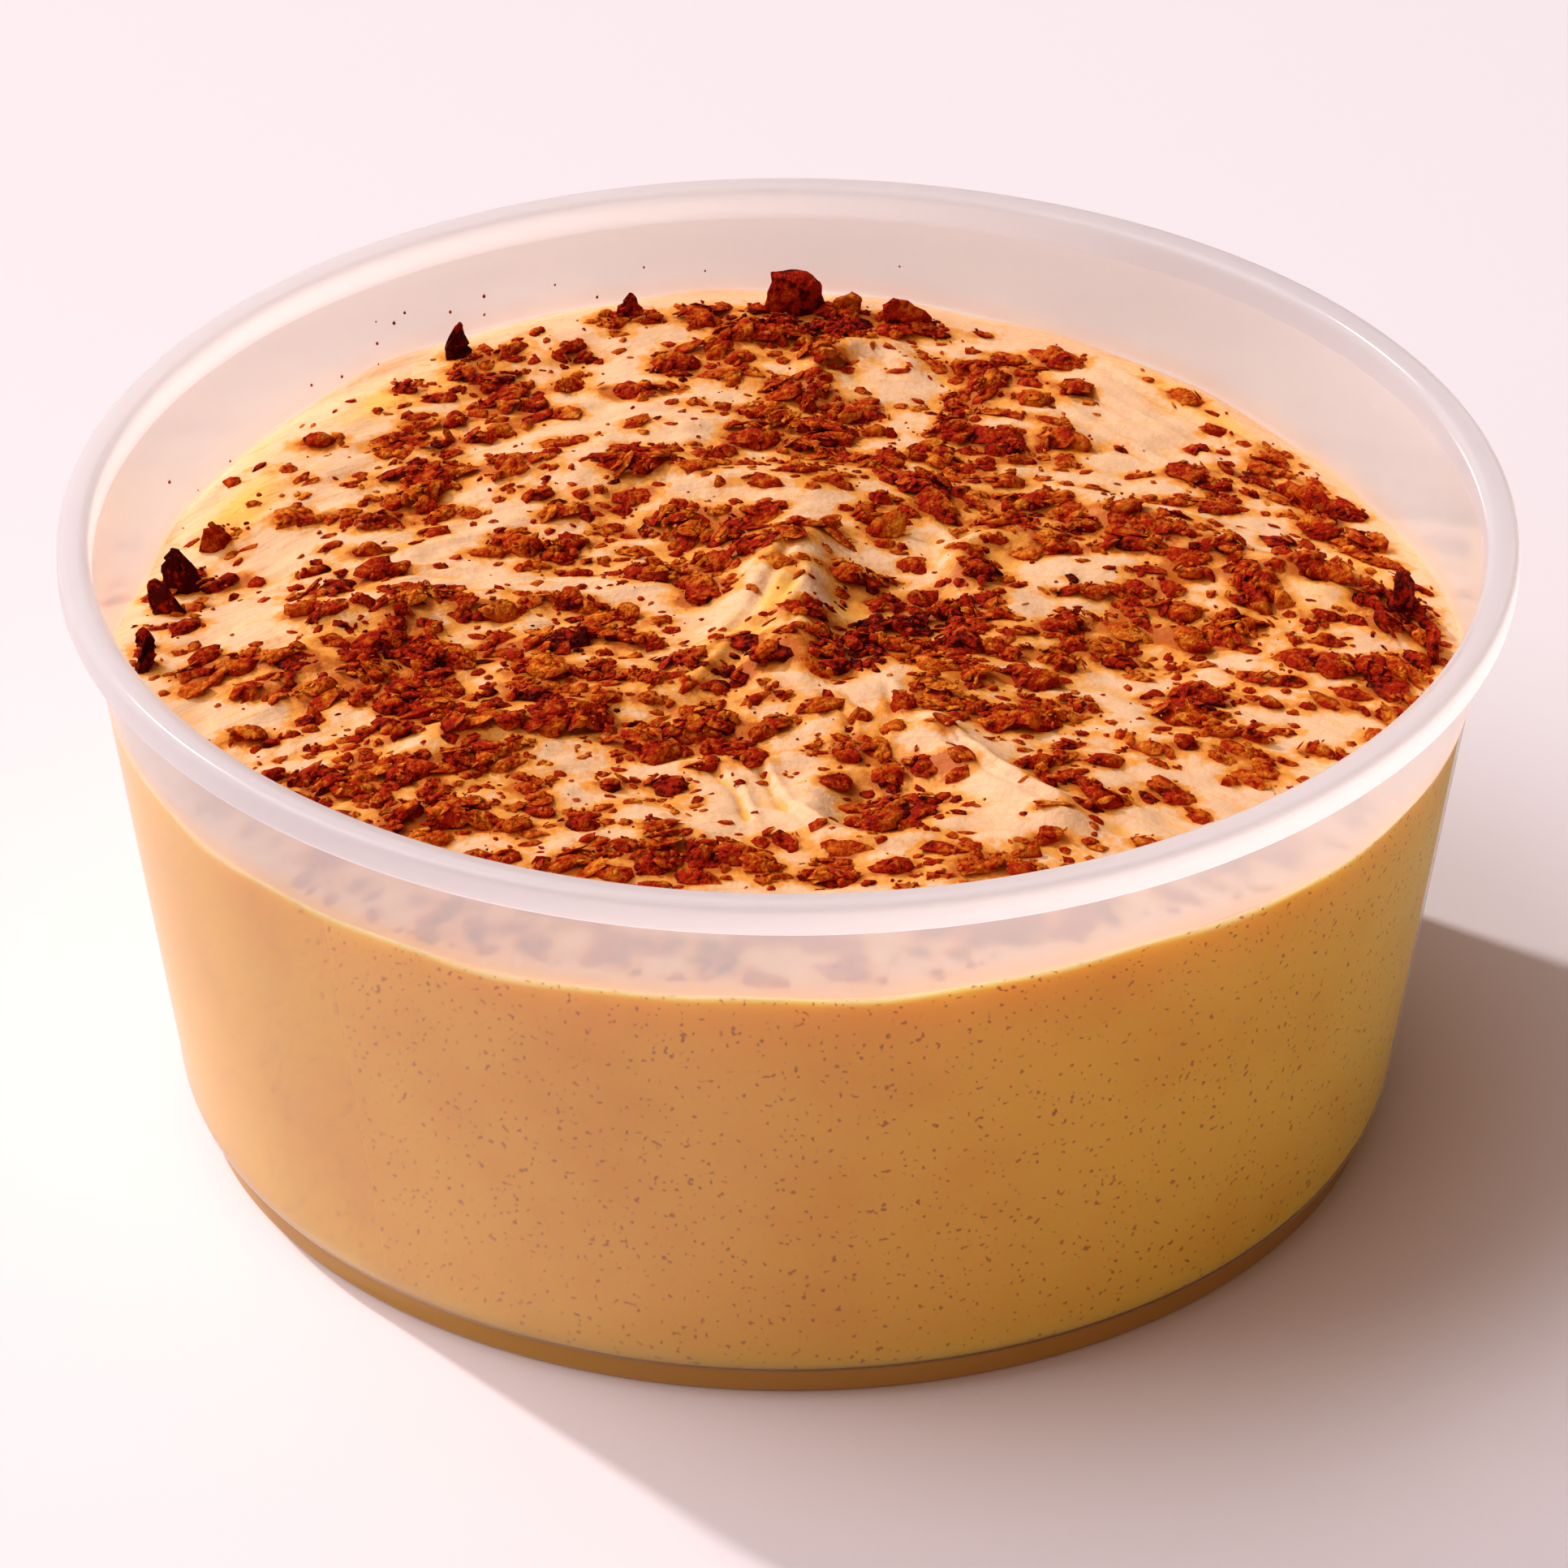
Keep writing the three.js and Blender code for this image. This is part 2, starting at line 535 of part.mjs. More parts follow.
// Only the largest piece is kept, so sealed hollows are filled and loose scraps dropped
function largestPiece(solid) {
  const pieces = solid.decompose();
  return pieces.reduce((best, piece) => (piece.volume() > best.volume() ? piece : best));
}

function creamWithFlakes() {
  const random = seeded(FLAKE_SEED);
  const shards = STANDING_SHARDS.map((shard) => standingShard(random, shard));
  const flakes = flakePlaces(random).map((place) => lyingFlake(random, place));
  const joined = [...shards, ...flakes].reduce(
    (solid, flake) => solid.add(solidOf(flake)),
    solidOf(creamBody()),
  );
  const mesh = new THREE.Mesh(geometryOf(largestPiece(joined)), cream());
  mesh.name = "cream";
  return mesh;
}

const pudding = new THREE.Group();
pudding.add(tub());
pudding.add(creamWithFlakes());

export default pudding;
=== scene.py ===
"""Dresses an open tub of mascarpone cream pudding, strewn with grated dark chocolate.

Lengths in the classes below are in millimetres and turn into metres only when a mesh or a
light is made. The origin is the middle of the tub's foot on the table, +Z is up, and the
camera stands in front of the tub, towards -Y.
"""

import logging
import math
from dataclasses import dataclass, field
from enum import Enum
from typing import Any, Callable, Sequence

import bpy
import numpy as np
from mathutils import Matrix, Vector


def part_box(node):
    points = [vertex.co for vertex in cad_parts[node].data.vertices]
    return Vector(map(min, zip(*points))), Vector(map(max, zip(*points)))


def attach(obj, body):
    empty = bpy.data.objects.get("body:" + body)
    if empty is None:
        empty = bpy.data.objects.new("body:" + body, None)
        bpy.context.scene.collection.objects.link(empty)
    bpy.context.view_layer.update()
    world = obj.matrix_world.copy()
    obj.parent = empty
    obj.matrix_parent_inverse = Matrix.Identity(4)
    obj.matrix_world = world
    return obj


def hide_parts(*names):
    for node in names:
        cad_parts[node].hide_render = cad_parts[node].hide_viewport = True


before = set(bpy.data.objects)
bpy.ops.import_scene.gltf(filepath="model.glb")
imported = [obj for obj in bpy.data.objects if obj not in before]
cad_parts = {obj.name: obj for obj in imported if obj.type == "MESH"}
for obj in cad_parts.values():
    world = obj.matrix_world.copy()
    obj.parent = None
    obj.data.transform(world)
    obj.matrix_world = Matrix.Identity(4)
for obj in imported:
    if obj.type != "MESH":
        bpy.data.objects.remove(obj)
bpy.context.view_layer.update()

MM = 0.001
BODY = "root"
FULL_TURN = 2 * math.pi
MERGE_DISTANCE = 1e-6

Array = np.ndarray
Point = tuple[float, float]
Colour = tuple[float, float, float, float]
Socket = bpy.types.NodeSocket
Rule = Callable[[Array, Array], Array]
# What a step depends on, where it starts and ends, and its number before and after.
Step = tuple[Socket, float, float, float, float]
# What a tint depends on, where it starts and ends, how strong it gets and its colour.
Tint = tuple[Socket, float, float, float, str]

log = logging.getLogger("pudding")


class Slot(Enum):
    """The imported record's material slots."""

    PLASTIC = "frosted_polypropylene"
    CREAM = "mascarpone_cream"
    CHOCOLATE = "grated_dark_chocolate"


# Small tools.


def linear(hex_colour: str) -> Colour:
    """Turns an sRGB colour into the linear one that Blender works in.

    Args:
        hex_colour: six hexadecimal digits after a hash.

    Returns:
        Red, green, blue and a full alpha, from 0 to 1.
    """
    shares = [int(hex_colour[place : place + 2], 16) / 255 for place in (1, 3, 5)]
    low = [share / 12.92 for share in shares]
    high = [((share + 0.055) / 1.055) ** 2.4 for share in shares]
    red, green, blue = (h if s > 0.04045 else l for s, l, h in zip(shares, low, high))
    return (red, green, blue, 1.0)


def bell(share: Array) -> Array:
    """1 at the middle, fading to nothing at about twice the width."""
    return np.exp(-share * share)


def smoothstep(share: Array) -> Array:
    """Eases 0 to 1, flat at both ends."""
    held = np.clip(share, 0.0, 1.0)
    return held * held * (3.0 - 2.0 * held)


def bearing(x: Array, y: Array) -> Array:
    """Each plan point's bearing round the tub, from 0 to 360 degrees."""
    return np.degrees(np.arctan2(y, x)) % 360


def off_bearing(x: Array, y: Array, middle: float) -> Array:
    """How far each plan point lies off a bearing, from -180 to 180 degrees."""
    return (np.degrees(np.arctan2(y, x)) - middle + 540) % 360 - 180


def along_across(x: Any, y: Any, heading: float) -> tuple[Any, Any]:
    """Distances along and across a heading in degrees."""
    turn = math.radians(heading)
    return x * math.cos(turn) + y * math.sin(turn), y * math.cos(turn) - x * math.sin(turn)


def lumps(x: Array, y: Array, size: float, seed: int) -> Array:
    """Smooth unevenness over the plan.

    Args:
        x: plan places across.
        y: plan places in depth.
        size: how far apart the lumps are.
        seed: which unevenness.

    Returns:
        Numbers from -1 to 1, one for each place.
    """
    count = 256
    lattice = np.random.default_rng(seed).uniform(-1.0, 1.0, (count, count))
    u, v = x / size + count / 2, y / size + count / 2
    left, low = np.floor(u).astype(int), np.floor(v).astype(int)
    across, along = smoothstep(u - left), smoothstep(v - low)
    corner = [
        [lattice[(left + i) % count, (low + j) % count] for j in (0, 1)] for i in (0, 1)
    ]
    near = corner[0][0] * (1 - across) + corner[1][0] * across
    far = corner[0][1] * (1 - across) + corner[1][1] * across
    return near * (1 - along) + far * along


def deselect() -> None:
    """Leaves nothing selected, so that an operator acts on the new piece alone."""
    bpy.ops.object.select_all(action="DESELECT")


def activate(piece: bpy.types.Object) -> None:
    """Makes a piece the only one selected, for an operator to act on."""
    deselect()
    piece.select_set(True)
    bpy.context.view_layer.objects.active = piece


def edit() -> None:
    """Enters edit mode with all selected."""
    bpy.ops.object.mode_set(mode="EDIT")
    bpy.ops.mesh.select_all(action="SELECT")


def object_mode() -> None:
    """Leaves edit mode."""
    bpy.ops.object.mode_set(mode="OBJECT")


def swept_profile(name: str, profile: Sequence[Point], steps: int) -> bpy.types.Object:
    """Draws a profile point by point and spins it into a closed body round the Z axis.

    Args:
        name: the new object's name.
        profile: radius and height of each point, in millimetres.
        steps: how many steps the full turn has.

    Returns:
        The object, with its doubles merged and its faces outward.
    """
    deselect()
    bpy.ops.mesh.primitive_plane_add(size=MM)
    made = bpy.context.object
    made.name = made.data.name = name
    edit()
    bpy.ops.mesh.merge(type="CENTER")
    start = profile[0]
    bpy.ops.transform.translate(value=(start[0] * MM, 0, start[1] * MM))
    for last, point in zip(profile, profile[1:]):
        shift = ((point[0] - last[0]) * MM, 0, (point[1] - last[1]) * MM)
        bpy.ops.mesh.extrude_region_move(TRANSFORM_OT_translate={"value": shift})
    bpy.ops.mesh.select_all(action="SELECT")
    bpy.ops.mesh.spin(steps=steps, angle=FULL_TURN, center=(0, 0, 0), axis=(0, 0, 1))
    bpy.ops.mesh.select_all(action="SELECT")
    bpy.ops.mesh.remove_doubles(threshold=MERGE_DISTANCE)
    bpy.ops.mesh.normals_make_consistent(inside=False)
    object_mode()
    return made


def read_points(piece: bpy.types.Object) -> Array:
    """The piece's vertices, in millimetres, one row each."""
    flat = np.empty(len(piece.data.vertices) * 3)
    piece.data.vertices.foreach_get("co", flat)
    return flat.reshape(-1, 3) / MM


def write_points(piece: bpy.types.Object, points: Array) -> None:
    """Moves the piece's vertices to points given in millimetres."""
    piece.data.vertices.foreach_set("co", (points * MM).ravel())
    piece.data.update()


def write_shares(piece: bpy.types.Object, name: str, values: Array) -> None:
    """Stores one number for each vertex, for a material to read."""
    layer = piece.data.attributes.new(name, "FLOAT", "POINT")
    layer.data.foreach_set("value", np.asarray(values, dtype=np.float32))


def smooth(piece: bpy.types.Object, degrees: float) -> None:
    """Shades the piece smooth, apart from edges sharper than an angle."""
    activate(piece)
    bpy.ops.object.shade_smooth_by_angle(angle=math.radians(degrees))


def placed(name: str, data: Any) -> bpy.types.Object:
    """Puts a new object with its mesh, light or camera into the scene."""
    made = bpy.data.objects.new(name, data)
    bpy.context.collection.objects.link(made)
    return made


def mesh_piece(name: str, points: Array, faces: Array) -> bpy.types.Object:
    """Makes an object from arrays, for many small bodies joined in one mesh.

    Args:
        name: the new object's name.
        points: vertices in millimetres, one row each.
        faces: vertex numbers of each triangle or quad, one row each.

    Returns:
        The new object, linked to the scene.
    """
    mesh = bpy.data.meshes.new(name)
    mesh.from_pydata((points * MM).tolist(), [], faces.tolist())
    mesh.update()
    return placed(name, mesh)


def hand_over(
    piece: bpy.types.Object,
    finish: bpy.types.Material,
    stands_for: Sequence[str] = (),
) -> None:
    """Dresses a finished piece and ties it to the body.

    Args:
        piece: the finished object, with its place in its mesh.
        finish: its material.
        stands_for: names of the CAD nodes that it replaces.
    """
    piece.data.materials.clear()
    piece.data.materials.append(finish)
    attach(piece, BODY)
    if stands_for:
        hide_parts(*stands_for)
    triangles = sum(len(face.vertices) - 2 for face in piece.data.polygons)
    log.info("%s: %d triangles", piece.name, triangles)


def add(
    tree: bpy.types.NodeTree,
    kind: str,
    inputs: dict[str | int, Any] | None = None,
    out: str | int = 0,
    **settings: Any,
) -> Socket | None:
    """Adds a shader node with its settings and links.

    Args:
        tree: the material's or the world's node tree.
        kind: Blender's name for the node's class.
        inputs: for each input, by name or number, a value or the socket that feeds it.
        out: which of its outputs is wanted, by name or number.
        settings: the node's own properties.

    Returns:
        That output, or nothing from a node that has none.
    """
    node = tree.nodes.new(kind)
    for name, value in settings.items():
        setattr(node, name, value)
    for name, value in (inputs or {}).items():
        if isinstance(value, Socket):
            tree.links.new(value, node.inputs[name])
        else:
            node.inputs[name].default_value = value
    return node.outputs[out] if node.outputs else None


def fresh_material(name: str) -> tuple[bpy.types.Material, bpy.types.NodeTree]:
    """Makes an empty node material.

    Args:
        name: the finish, in a maker's words.

    Returns:
        The material and its node tree.
    """
    made = bpy.data.materials.new(name)
    made.use_nodes = True
    made.node_tree.nodes.clear()
    return made, made.node_tree


def product(tree: bpy.types.NodeTree, *steps: Step) -> Socket:
    """Works out how much of something there is, as the product of eased steps.

    Args:
        tree: the material's node tree.
        steps: the steps, each of which goes smoothly from one number to another.

    Returns:
        The product.
    """
    result: Socket | None = None
    for value, low, high, before, after in steps:
        ends = {"From Min": low, "From Max": high, "To Min": before, "To Max": after}
        eased = add(
            tree, "ShaderNodeMapRange", {"Value": value, **ends}, interpolation_type="SMOOTHSTEP"
        )
        if result is None:
            result = eased
        else:
            result = add(tree, "ShaderNodeMath", {0: result, 1: eased}, operation="MULTIPLY")
    return result


def tinted(tree: bpy.types.NodeTree, colour: str, *tints: Tint) -> Socket:
    """Lays tints over a colour, one after another.

    Args:
        tree: the material's node tree.
        colour: the colour under them.
        tints: the tints, each eased in as what it depends on changes.

    Returns:
        The mixed colour.
    """
    mixed: Any = linear(colour)
    for value, low, high, most, tint in tints:
        amount = product(tree, (value, low, high, 0.0, most))
        layers = {0: amount, 6: mixed, 7: linear(tint)}
        mixed = add(tree, "ShaderNodeMix", layers, 2, data_type="RGBA")
    return mixed


# The tub.


@dataclass
class TubShape:
    """Sizes of the moulded tub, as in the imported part."""

    height: float = 52.0
    rim_radius: float = 59.0
    rim_width: float = 2.6
    rim_rounding: float = 0.7
    collar_height: float = 2.6
    collar_skin: float = 0.8
    wall: float = 0.8
    wall_top_radius: float = 57.0
    wall_low_radius: float = 50.3
    corner_radius: float = 4.6
    corner_sweep: float = 55.0
    foot_height: float = 2.0
    foot_edge: float = 0.3
    foot_width: float = 1.4
    foot_draft: float = 0.2
    foot_fillet: Point = (0.4, 0.3)
    groove_bevel: float = 0.3
    collar_draft: float = 0.2
    collar_lip: float = 0.25
    collar_step: float = 0.1
    floor_underside: float = 0.9
    floor_top: float = 1.9

    def __post_init__(self) -> None:
        """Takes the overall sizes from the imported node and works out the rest."""
        _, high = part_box("tub")
        self.height = high.z / MM
        self.rim_radius = high.x / MM
        turn = math.radians(self.corner_sweep)
        self.wall_low_height = self.foot_height + self.corner_radius * math.sin(turn)
        self.foot_radius = self.wall_low_radius - self.corner_radius * (1 - math.cos(turn))
        self.wall_top_height = self.height - self.collar_height
        rise = self.wall_top_height - self.wall_low_height
        self.slope = (self.wall_top_radius - self.wall_low_radius) / rise
        self.inner_corner = self.corner_radius - self.wall

    def inner_radius(self, height: Any) -> Any:
        """Radius of the wall's inner face at a height."""
        outer = self.wall_low_radius + self.slope * (height - self.wall_low_height)
        return outer - self.wall


def arc(centre: Point, radius: float, start: float, end: float, steps: int) -> list[Point]:
    """Points along an arc of the profile.

    Args:
        centre: radius and height of the arc's centre.
        radius: the arc's own radius.
        start: its first angle in degrees, from straight outward towards up.
        end: its last angle.
        steps: how many steps it has.

    Returns:
        One point more than there are steps.
    """
    turns = [math.radians(start + (end - start) * step / steps) for step in range(steps + 1)]
    along, up = centre
    return [(along + radius * math.cos(turn), up + radius * math.sin(turn)) for turn in turns]


@dataclass
class Tub:
    """The thin moulded tub: foot ring, rounded corner, sloping wall, rim and hanging collar."""

    shape: TubShape
    edge_height: Rule
    turn_steps: int = 256
    corner_steps: int = 8
    rim_steps: int = 5
    lip_steps: int = 3
    # Bearing and spread of the painted veil, which lies where the light falls.
    veil_bearing: float = 202.0
    veil_spread: float = 78.0
    sharpest_smooth: float = 34.0

    def outside(self) -> list[Point]:
        """The profile from the middle of the underside up to the collar's foot."""
        s = self.shape
        corner = (s.wall_low_radius - s.corner_radius, s.wall_low_height)
        inner_foot = s.foot_radius - s.foot_width
        across, down = s.foot_fillet
        return [
            (0.0, s.floor_underside),
            (inner_foot - across, s.floor_underside),
            (inner_foot, s.floor_underside - down),
            (inner_foot + s.foot_draft, 0.0),
            (s.foot_radius - s.foot_edge, 0.0),
            (s.foot_radius, s.foot_edge),
            *arc(corner, s.corner_radius, -s.corner_sweep, 0, self.corner_steps),
            (s.wall_top_radius, s.wall_top_height),
        ]

    def rim(self) -> list[Point]:
        """The profile of the groove behind the collar, the collar and the rim's top."""
        s = self.shape
        groove = s.height - s.collar_skin
        behind = s.rim_radius - s.collar_skin
        top = s.height - s.rim_rounding
        outer = (s.rim_radius - s.rim_rounding, top)
        inner = (s.rim_radius - s.rim_width + s.rim_rounding, top)
        lip = (s.rim_radius - s.collar_lip, s.wall_top_height + s.collar_lip)
        return [
            (s.wall_top_radius, groove - s.groove_bevel),
            (s.wall_top_radius + s.groove_bevel, groove),
            (behind - s.collar_draft, groove),
            (behind, groove - s.groove_bevel),
            (behind, s.wall_top_height + s.collar_step),
            *arc(lip, s.collar_lip, -90, 0, self.lip_steps),
            *arc(outer, s.rim_rounding, 0, 90, self.rim_steps),
            *arc(inner, s.rim_rounding, 90, 180, self.rim_steps),
        ]

    def inside(self) -> list[Point]:
        """The profile from the rim down the inner face and along the floor."""
        s = self.shape
        height = s.floor_top + s.inner_corner
        centre = (s.inner_radius(height) - s.inner_corner, height)
        return [
            (s.inner_radius(s.wall_top_height), s.wall_top_height),
            *arc(centre, s.inner_corner, 0, -90, self.corner_steps),
            (0.0, s.floor_top),
        ]

    def build(self, finish: bpy.types.Material) -> None:
        """Builds the tub as one spun body.

        Args:
            finish: the frosted plastic.
        """
        profile = [*self.outside(), *self.rim(), *self.inside()]
        piece = swept_profile("tub_shell", profile, self.turn_steps)
        x, y, z = read_points(piece).T
        write_shares(piece, "above_cream", z - self.edge_height(x, y))
        # Painted veil: a share that is highest towards the left, where the light falls, and makes
        # the wall milkier and glossier there.
        painted_veil = bell((bearing(x, y) - self.veil_bearing) / self.veil_spread)
        write_shares(piece, "painted_veil", painted_veil)
        smooth(piece, self.sharpest_smooth)
        hand_over(piece, finish, ["tub"])


# The cream's relief.


@dataclass(frozen=True)
class Ridge:
    """A straight ridge, whose two flanks may differ in width."""

    start: Point
    end: Point
    height: float
    left: float
    right: float

    def rise(self, x: Array, y: Array) -> Array:
        """How much it lifts each plan point."""
        along = np.subtract(self.end, self.start)
        length = float(np.hypot(*along))
        ux, uy = along / length
        reach = (x - self.start[0]) * ux + (y - self.start[1]) * uy
        side = (x - self.start[0]) * uy - (y - self.start[1]) * ux
        beyond = np.maximum(0.0, np.maximum(-reach, reach - length))
        flank = np.where(side > 0, self.left, self.right)
        return self.height * bell(side / flank) * bell(beyond / self.left)


@dataclass(frozen=True)
class Lip:
    """A curled lip: part of a ring that fades out at both ends."""

    centre: Point
    radius: float
    middle: float
    spread: float
    height: float
    width: float

    def rise(self, x: Array, y: Array) -> Array:
        """How much it lifts each plan point."""
        dx, dy = x - self.centre[0], y - self.centre[1]
        off = (np.hypot(dx, dy) - self.radius) / self.width
        turn = off_bearing(dx, dy, self.middle) / self.spread
        return self.height * bell(off) * bell(turn**2)


@dataclass(frozen=True)
class Hollow:
    """A shallow round dip."""

    centre: Point
    radius: float
    depth: float

    def rise(self, x: Array, y: Array) -> Array:
        """How much it lifts each plan point, which is below nothing."""
        away = np.hypot(x - self.centre[0], y - self.centre[1])
        return -self.depth * bell(away / self.radius)


@dataclass(frozen=True)
class Swell:
    """A slow wave across the whole top."""

    heading: float
    length: float
    height: float
    phase: float

    def rise(self, x: Array, y: Array) -> Array:
        """How much it lifts each plan point."""
        travel, _ = along_across(x, y, self.heading)
        return self.height * np.sin(FULL_TURN * travel / self.length + math.radians(self.phase))


@dataclass(frozen=True)
class Crease:
    """A thin fold left by the spatula: a groove along a line, with a lip on its left side."""

    line: tuple[Point, ...]
    depth: float
    width: float
    lip_height: float = 0.8
    lip_away: float = 1.7
    lip_width: float = 1.4
    lip_reach: float = 3.2

    def rise(self, x: Array, y: Array) -> Array:
        """How much it lifts each plan point."""
        best = np.full(x.shape, np.inf)
        signed = np.zeros(x.shape)
        for start, end in zip(self.line, self.line[1:]):
            dx, dy = end[0] - start[0], end[1] - start[1]
            long = math.hypot(dx, dy)
            share = ((x - start[0]) * dx + (y - start[1]) * dy) / long**2
            held = np.clip(share, 0.0, 1.0)
            off_x, off_y = x - start[0] - held * dx, y - start[1] - held * dy
            away = np.hypot(off_x, off_y)
            nearer = away < best
            best = np.where(nearer, away, best)
            signed = np.where(nearer, (off_y * dx - off_x * dy) / long, signed)
        groove = bell(best / self.width)
        lip = bell((signed - self.lip_away * self.width) / (self.lip_width * self.width))
        lip = lip * bell(best / (self.lip_reach * self.width))
        return self.depth * (self.lip_height * lip - groove)


@dataclass(frozen=True)
class Oval:
    """An oval patch, by its half length and half width."""

    at: Point
    long: float
    wide: float
    heading: float

    def within(self, x: Array, y: Array) -> Array:
        """1 at its middle, fading out beyond its edge."""
        along, across = along_across(x - self.at[0], y - self.at[1], self.heading)
        return bell(np.hypot(along / self.long, across / self.wide))


def ovals(*rows: tuple[float, ...]) -> tuple[Oval, ...]:
    """Patches from rows of place across, place in depth, half length, half width, heading."""
    return tuple(Oval((x, y), long, wide, heading) for x, y, long, wide, heading in rows)


# The forms of the cream's top, in millimetres across and in depth, with headings in degrees.
RIDGES = (
    Ridge((1.4, 11.0), (0.8, -6.0), 1.9, 4.6, 2.2),
    Ridge((-1.0, 10.0), (-6.4, -7.0), 0.8, 2.0, 1.2),
    Ridge((11.5, -17.0), (21.5, -30.0), 1.2, 2.6, 2.0),
    Ridge((-38.0, 2.0), (-12.0, 7.0), 0.9, 2.4, 3.0),
    Ridge((-30.0, -19.0), (-8.0, -9.0), 0.8, 2.2, 2.8),
    Ridge((24.0, 22.0), (44.0, 8.0), 0.9, 3.0, 2.2),
    Ridge((-22.0, 26.0), (2.0, 22.0), 0.8, 2.4, 2.4),
)
LIPS = (
    Lip((7.5, -27.5), 5.6, 235, 95, 1.1, 1.8),
    Lip((6.5, 42.0), 4.2, 120, 110, 0.9, 1.6),
    Lip((18.5, 10.5), 4.6, 150, 100, 1.0, 1.6),
    Lip((42.0, 4.0), 6.5, 60, 90, 0.9, 1.8),
)
HOLLOWS = (
    Hollow((7.5, -27.0), 4.4, 0.9),
    Hollow((9.5, 3.0), 6.5, 1.2),
    Hollow((-27.0, -4.0), 9.0, 0.7),
    Hollow((30.0, -8.0), 8.0, 0.6),
)
SWELL = (
    Swell(20, 37, 0.35, 40),
    Swell(75, 29, 0.3, 200),
    Swell(140, 21, 0.25, 310),
)
CREASES = (
    Crease(((12.6, -18.6), (17.0, -25.0), (21.4, -29.0)), 0.5, 0.5),
    Crease(((0.2, 10.0), (-2.8, 1.0), (-7.6, -8.0)), 0.3, 0.5),
    Crease(((1.0, 6.0), (-1.6, -1.0), (-4.2, -7.0)), 0.22, 0.4),
    Crease(((1.2, 2.0), (0.0, -3.0), (-1.4, -6.0)), 0.2, 0.35),
    Crease(((24.0, 41.0), (29.0, 36.0), (34.0, 31.5)), 0.4, 0.45),
    Crease(((27.0, 43.5), (31.5, 39.0), (36.0, 35.0)), 0.4, 0.45),
    Crease(((22.0, 38.0), (26.0, 33.5), (31.0, 29.0)), 0.35, 0.4),
    Crease(((-6.2, -21.0), (-4.0, -25.0), (-3.2, -29.0)), 0.4, 0.4),
    Crease(((-2.0, -22.0), (-0.6, -27.0), (2.0, -31.0)), 0.4, 0.4),
    Crease(((3.0, -12.0), (4.8, -15.0), (5.0, -18.5)), 0.35, 0.4),
    Crease(((8.0, -11.0), (8.6, -15.0), (7.2, -19.0)), 0.35, 0.4),
    Crease(((41.0, 13.0), (46.0, 12.5), (50.5, 9.0)), 0.5, 0.5),
    Crease(((43.0, 8.5), (47.0, 8.0), (50.0, 4.0)), 0.45, 0.5),
    Crease(((-41.0, 8.5), (-34.0, 10.0), (-27.0, 9.0)), 0.3, 0.5),
    Crease(((14.0, 14.5), (17.0, 15.6), (20.4, 14.0)), 0.4, 0.45),
    Crease(((3.2, 38.0), (3.0, 42.0), (6.0, 45.0), (9.4, 43.4)), 0.4, 0.45),
)
# Where the chocolate lies thick, and where it leaves the cream bare.
THICK_PATCHES = ovals(
    (1, 48, 7, 5.5, 0), (11, 50, 3.4, 2.4, 0), (-13, 50.5, 3.5, 2, 10), (-26, 41, 5, 3.4, 30),
    (-20, 44, 3.5, 2.2, 20), (1.5, 36, 3.6, 6, 0), (3, 28, 4.5, 3.5, 0), (15, 38, 5, 2, 60),
    (14, 30, 4, 3, -20), (21, 31, 2.6, 3, 0), (-30, 24.5, 2.8, 3.6, 0), (-35, 18, 5, 1.6, 38),
    (-13, 25, 3.6, 1.8, 30), (12, 22, 6, 3, -35), (-9, 16, 6.5, 4, -12), (-18, 13.5, 5, 2.2, 20),
    (-9, 9.4, 9, 1.3, 4), (-18, 4.5, 6, 2.2, 10), (-31, 2.6, 7, 1.6, 10), (-31, -5.5, 8, 4, -8),
    (-26, -9.5, 7, 2.6, -8), (-16, -3, 7, 4, 8), (-17, -9, 7, 2.8, 10), (-28, -14, 7, 2.4, -18),
    (-10, -16.5, 6, 3.6, 8), (-20, -19, 5, 2, 5), (-30, -23, 8, 3.2, 5), (-26, -29, 5.5, 2.6, -15),
    (-8, -36, 6, 2.2, 0), (-5, 8, 3, 1.6, 60), (5.5, 6, 4.5, 3.2, -40), (11.5, 0.5, 5, 5, -50),
    (4, -5.5, 4.6, 3, -40), (-4, -8, 3.4, 1.6, 10), (15, 6, 3.4, 3, -30), (14.5, -13, 5, 4, -45),
    (9, -20, 3.6, 2.4, -50), (9.5, -28, 2.8, 3.6, 0), (14.5, -37, 5, 1.6, 5), (2, -38.5, 4, 1.4, 0),
    (21, 17, 8, 2.8, -12), (31, 15, 6.5, 2.2, -28), (28, 5, 5, 3.4, -30), (24, -2, 3, 2.6, 0),
    (33, 2, 4, 2.2, -40), (36.5, 9, 3.4, 1.8, -55), (33.5, -11.5, 4, 3.6, -60),
    (43, 25.5, 5.5, 2.6, -52), (34.5, 25.5, 3, 2.4, -10), (50, 4.5, 3.4, 5.5, 0),
    (48.5, -4, 3, 2.4, 0), (20.5, -22, 3.4, 1.8, 70), (21, -14, 3.5, 2.5, -40),
)
BARE_PATCHES = ovals(
    (31, 38, 10, 5, -48), (27.5, 26, 5, 2.2, -65), (18, 48.5, 4, 3, -20), (-41, 31, 7, 4, 50),
    (-42, 14, 6, 4.5, 60), (-33, 11, 7, 3.4, 15), (-26, 9, 4, 2.2, 0), (-43, 2, 3, 4, 0),
    (-11, 31, 4.5, 1.8, 5), (-16, 37, 3.6, 4, 0), (-4, 1, 6.5, 3, 68), (3.5, 16, 5.5, 3, -35),
    (7.5, 41, 3.4, 2.8, 0), (-2, -27, 5, 5.5, 0), (16, -22.5, 7, 2.4, -54), (27, -31, 6, 3, 30),
    (38, -26, 5, 4, 0), (44, -15, 4, 3, 60), (41, 14, 4, 3.4, -40), (24, 9.5, 3, 1.6, 0),
    (-47, -12, 4, 3, -60), (5.5, -12, 3, 2, -45),
)
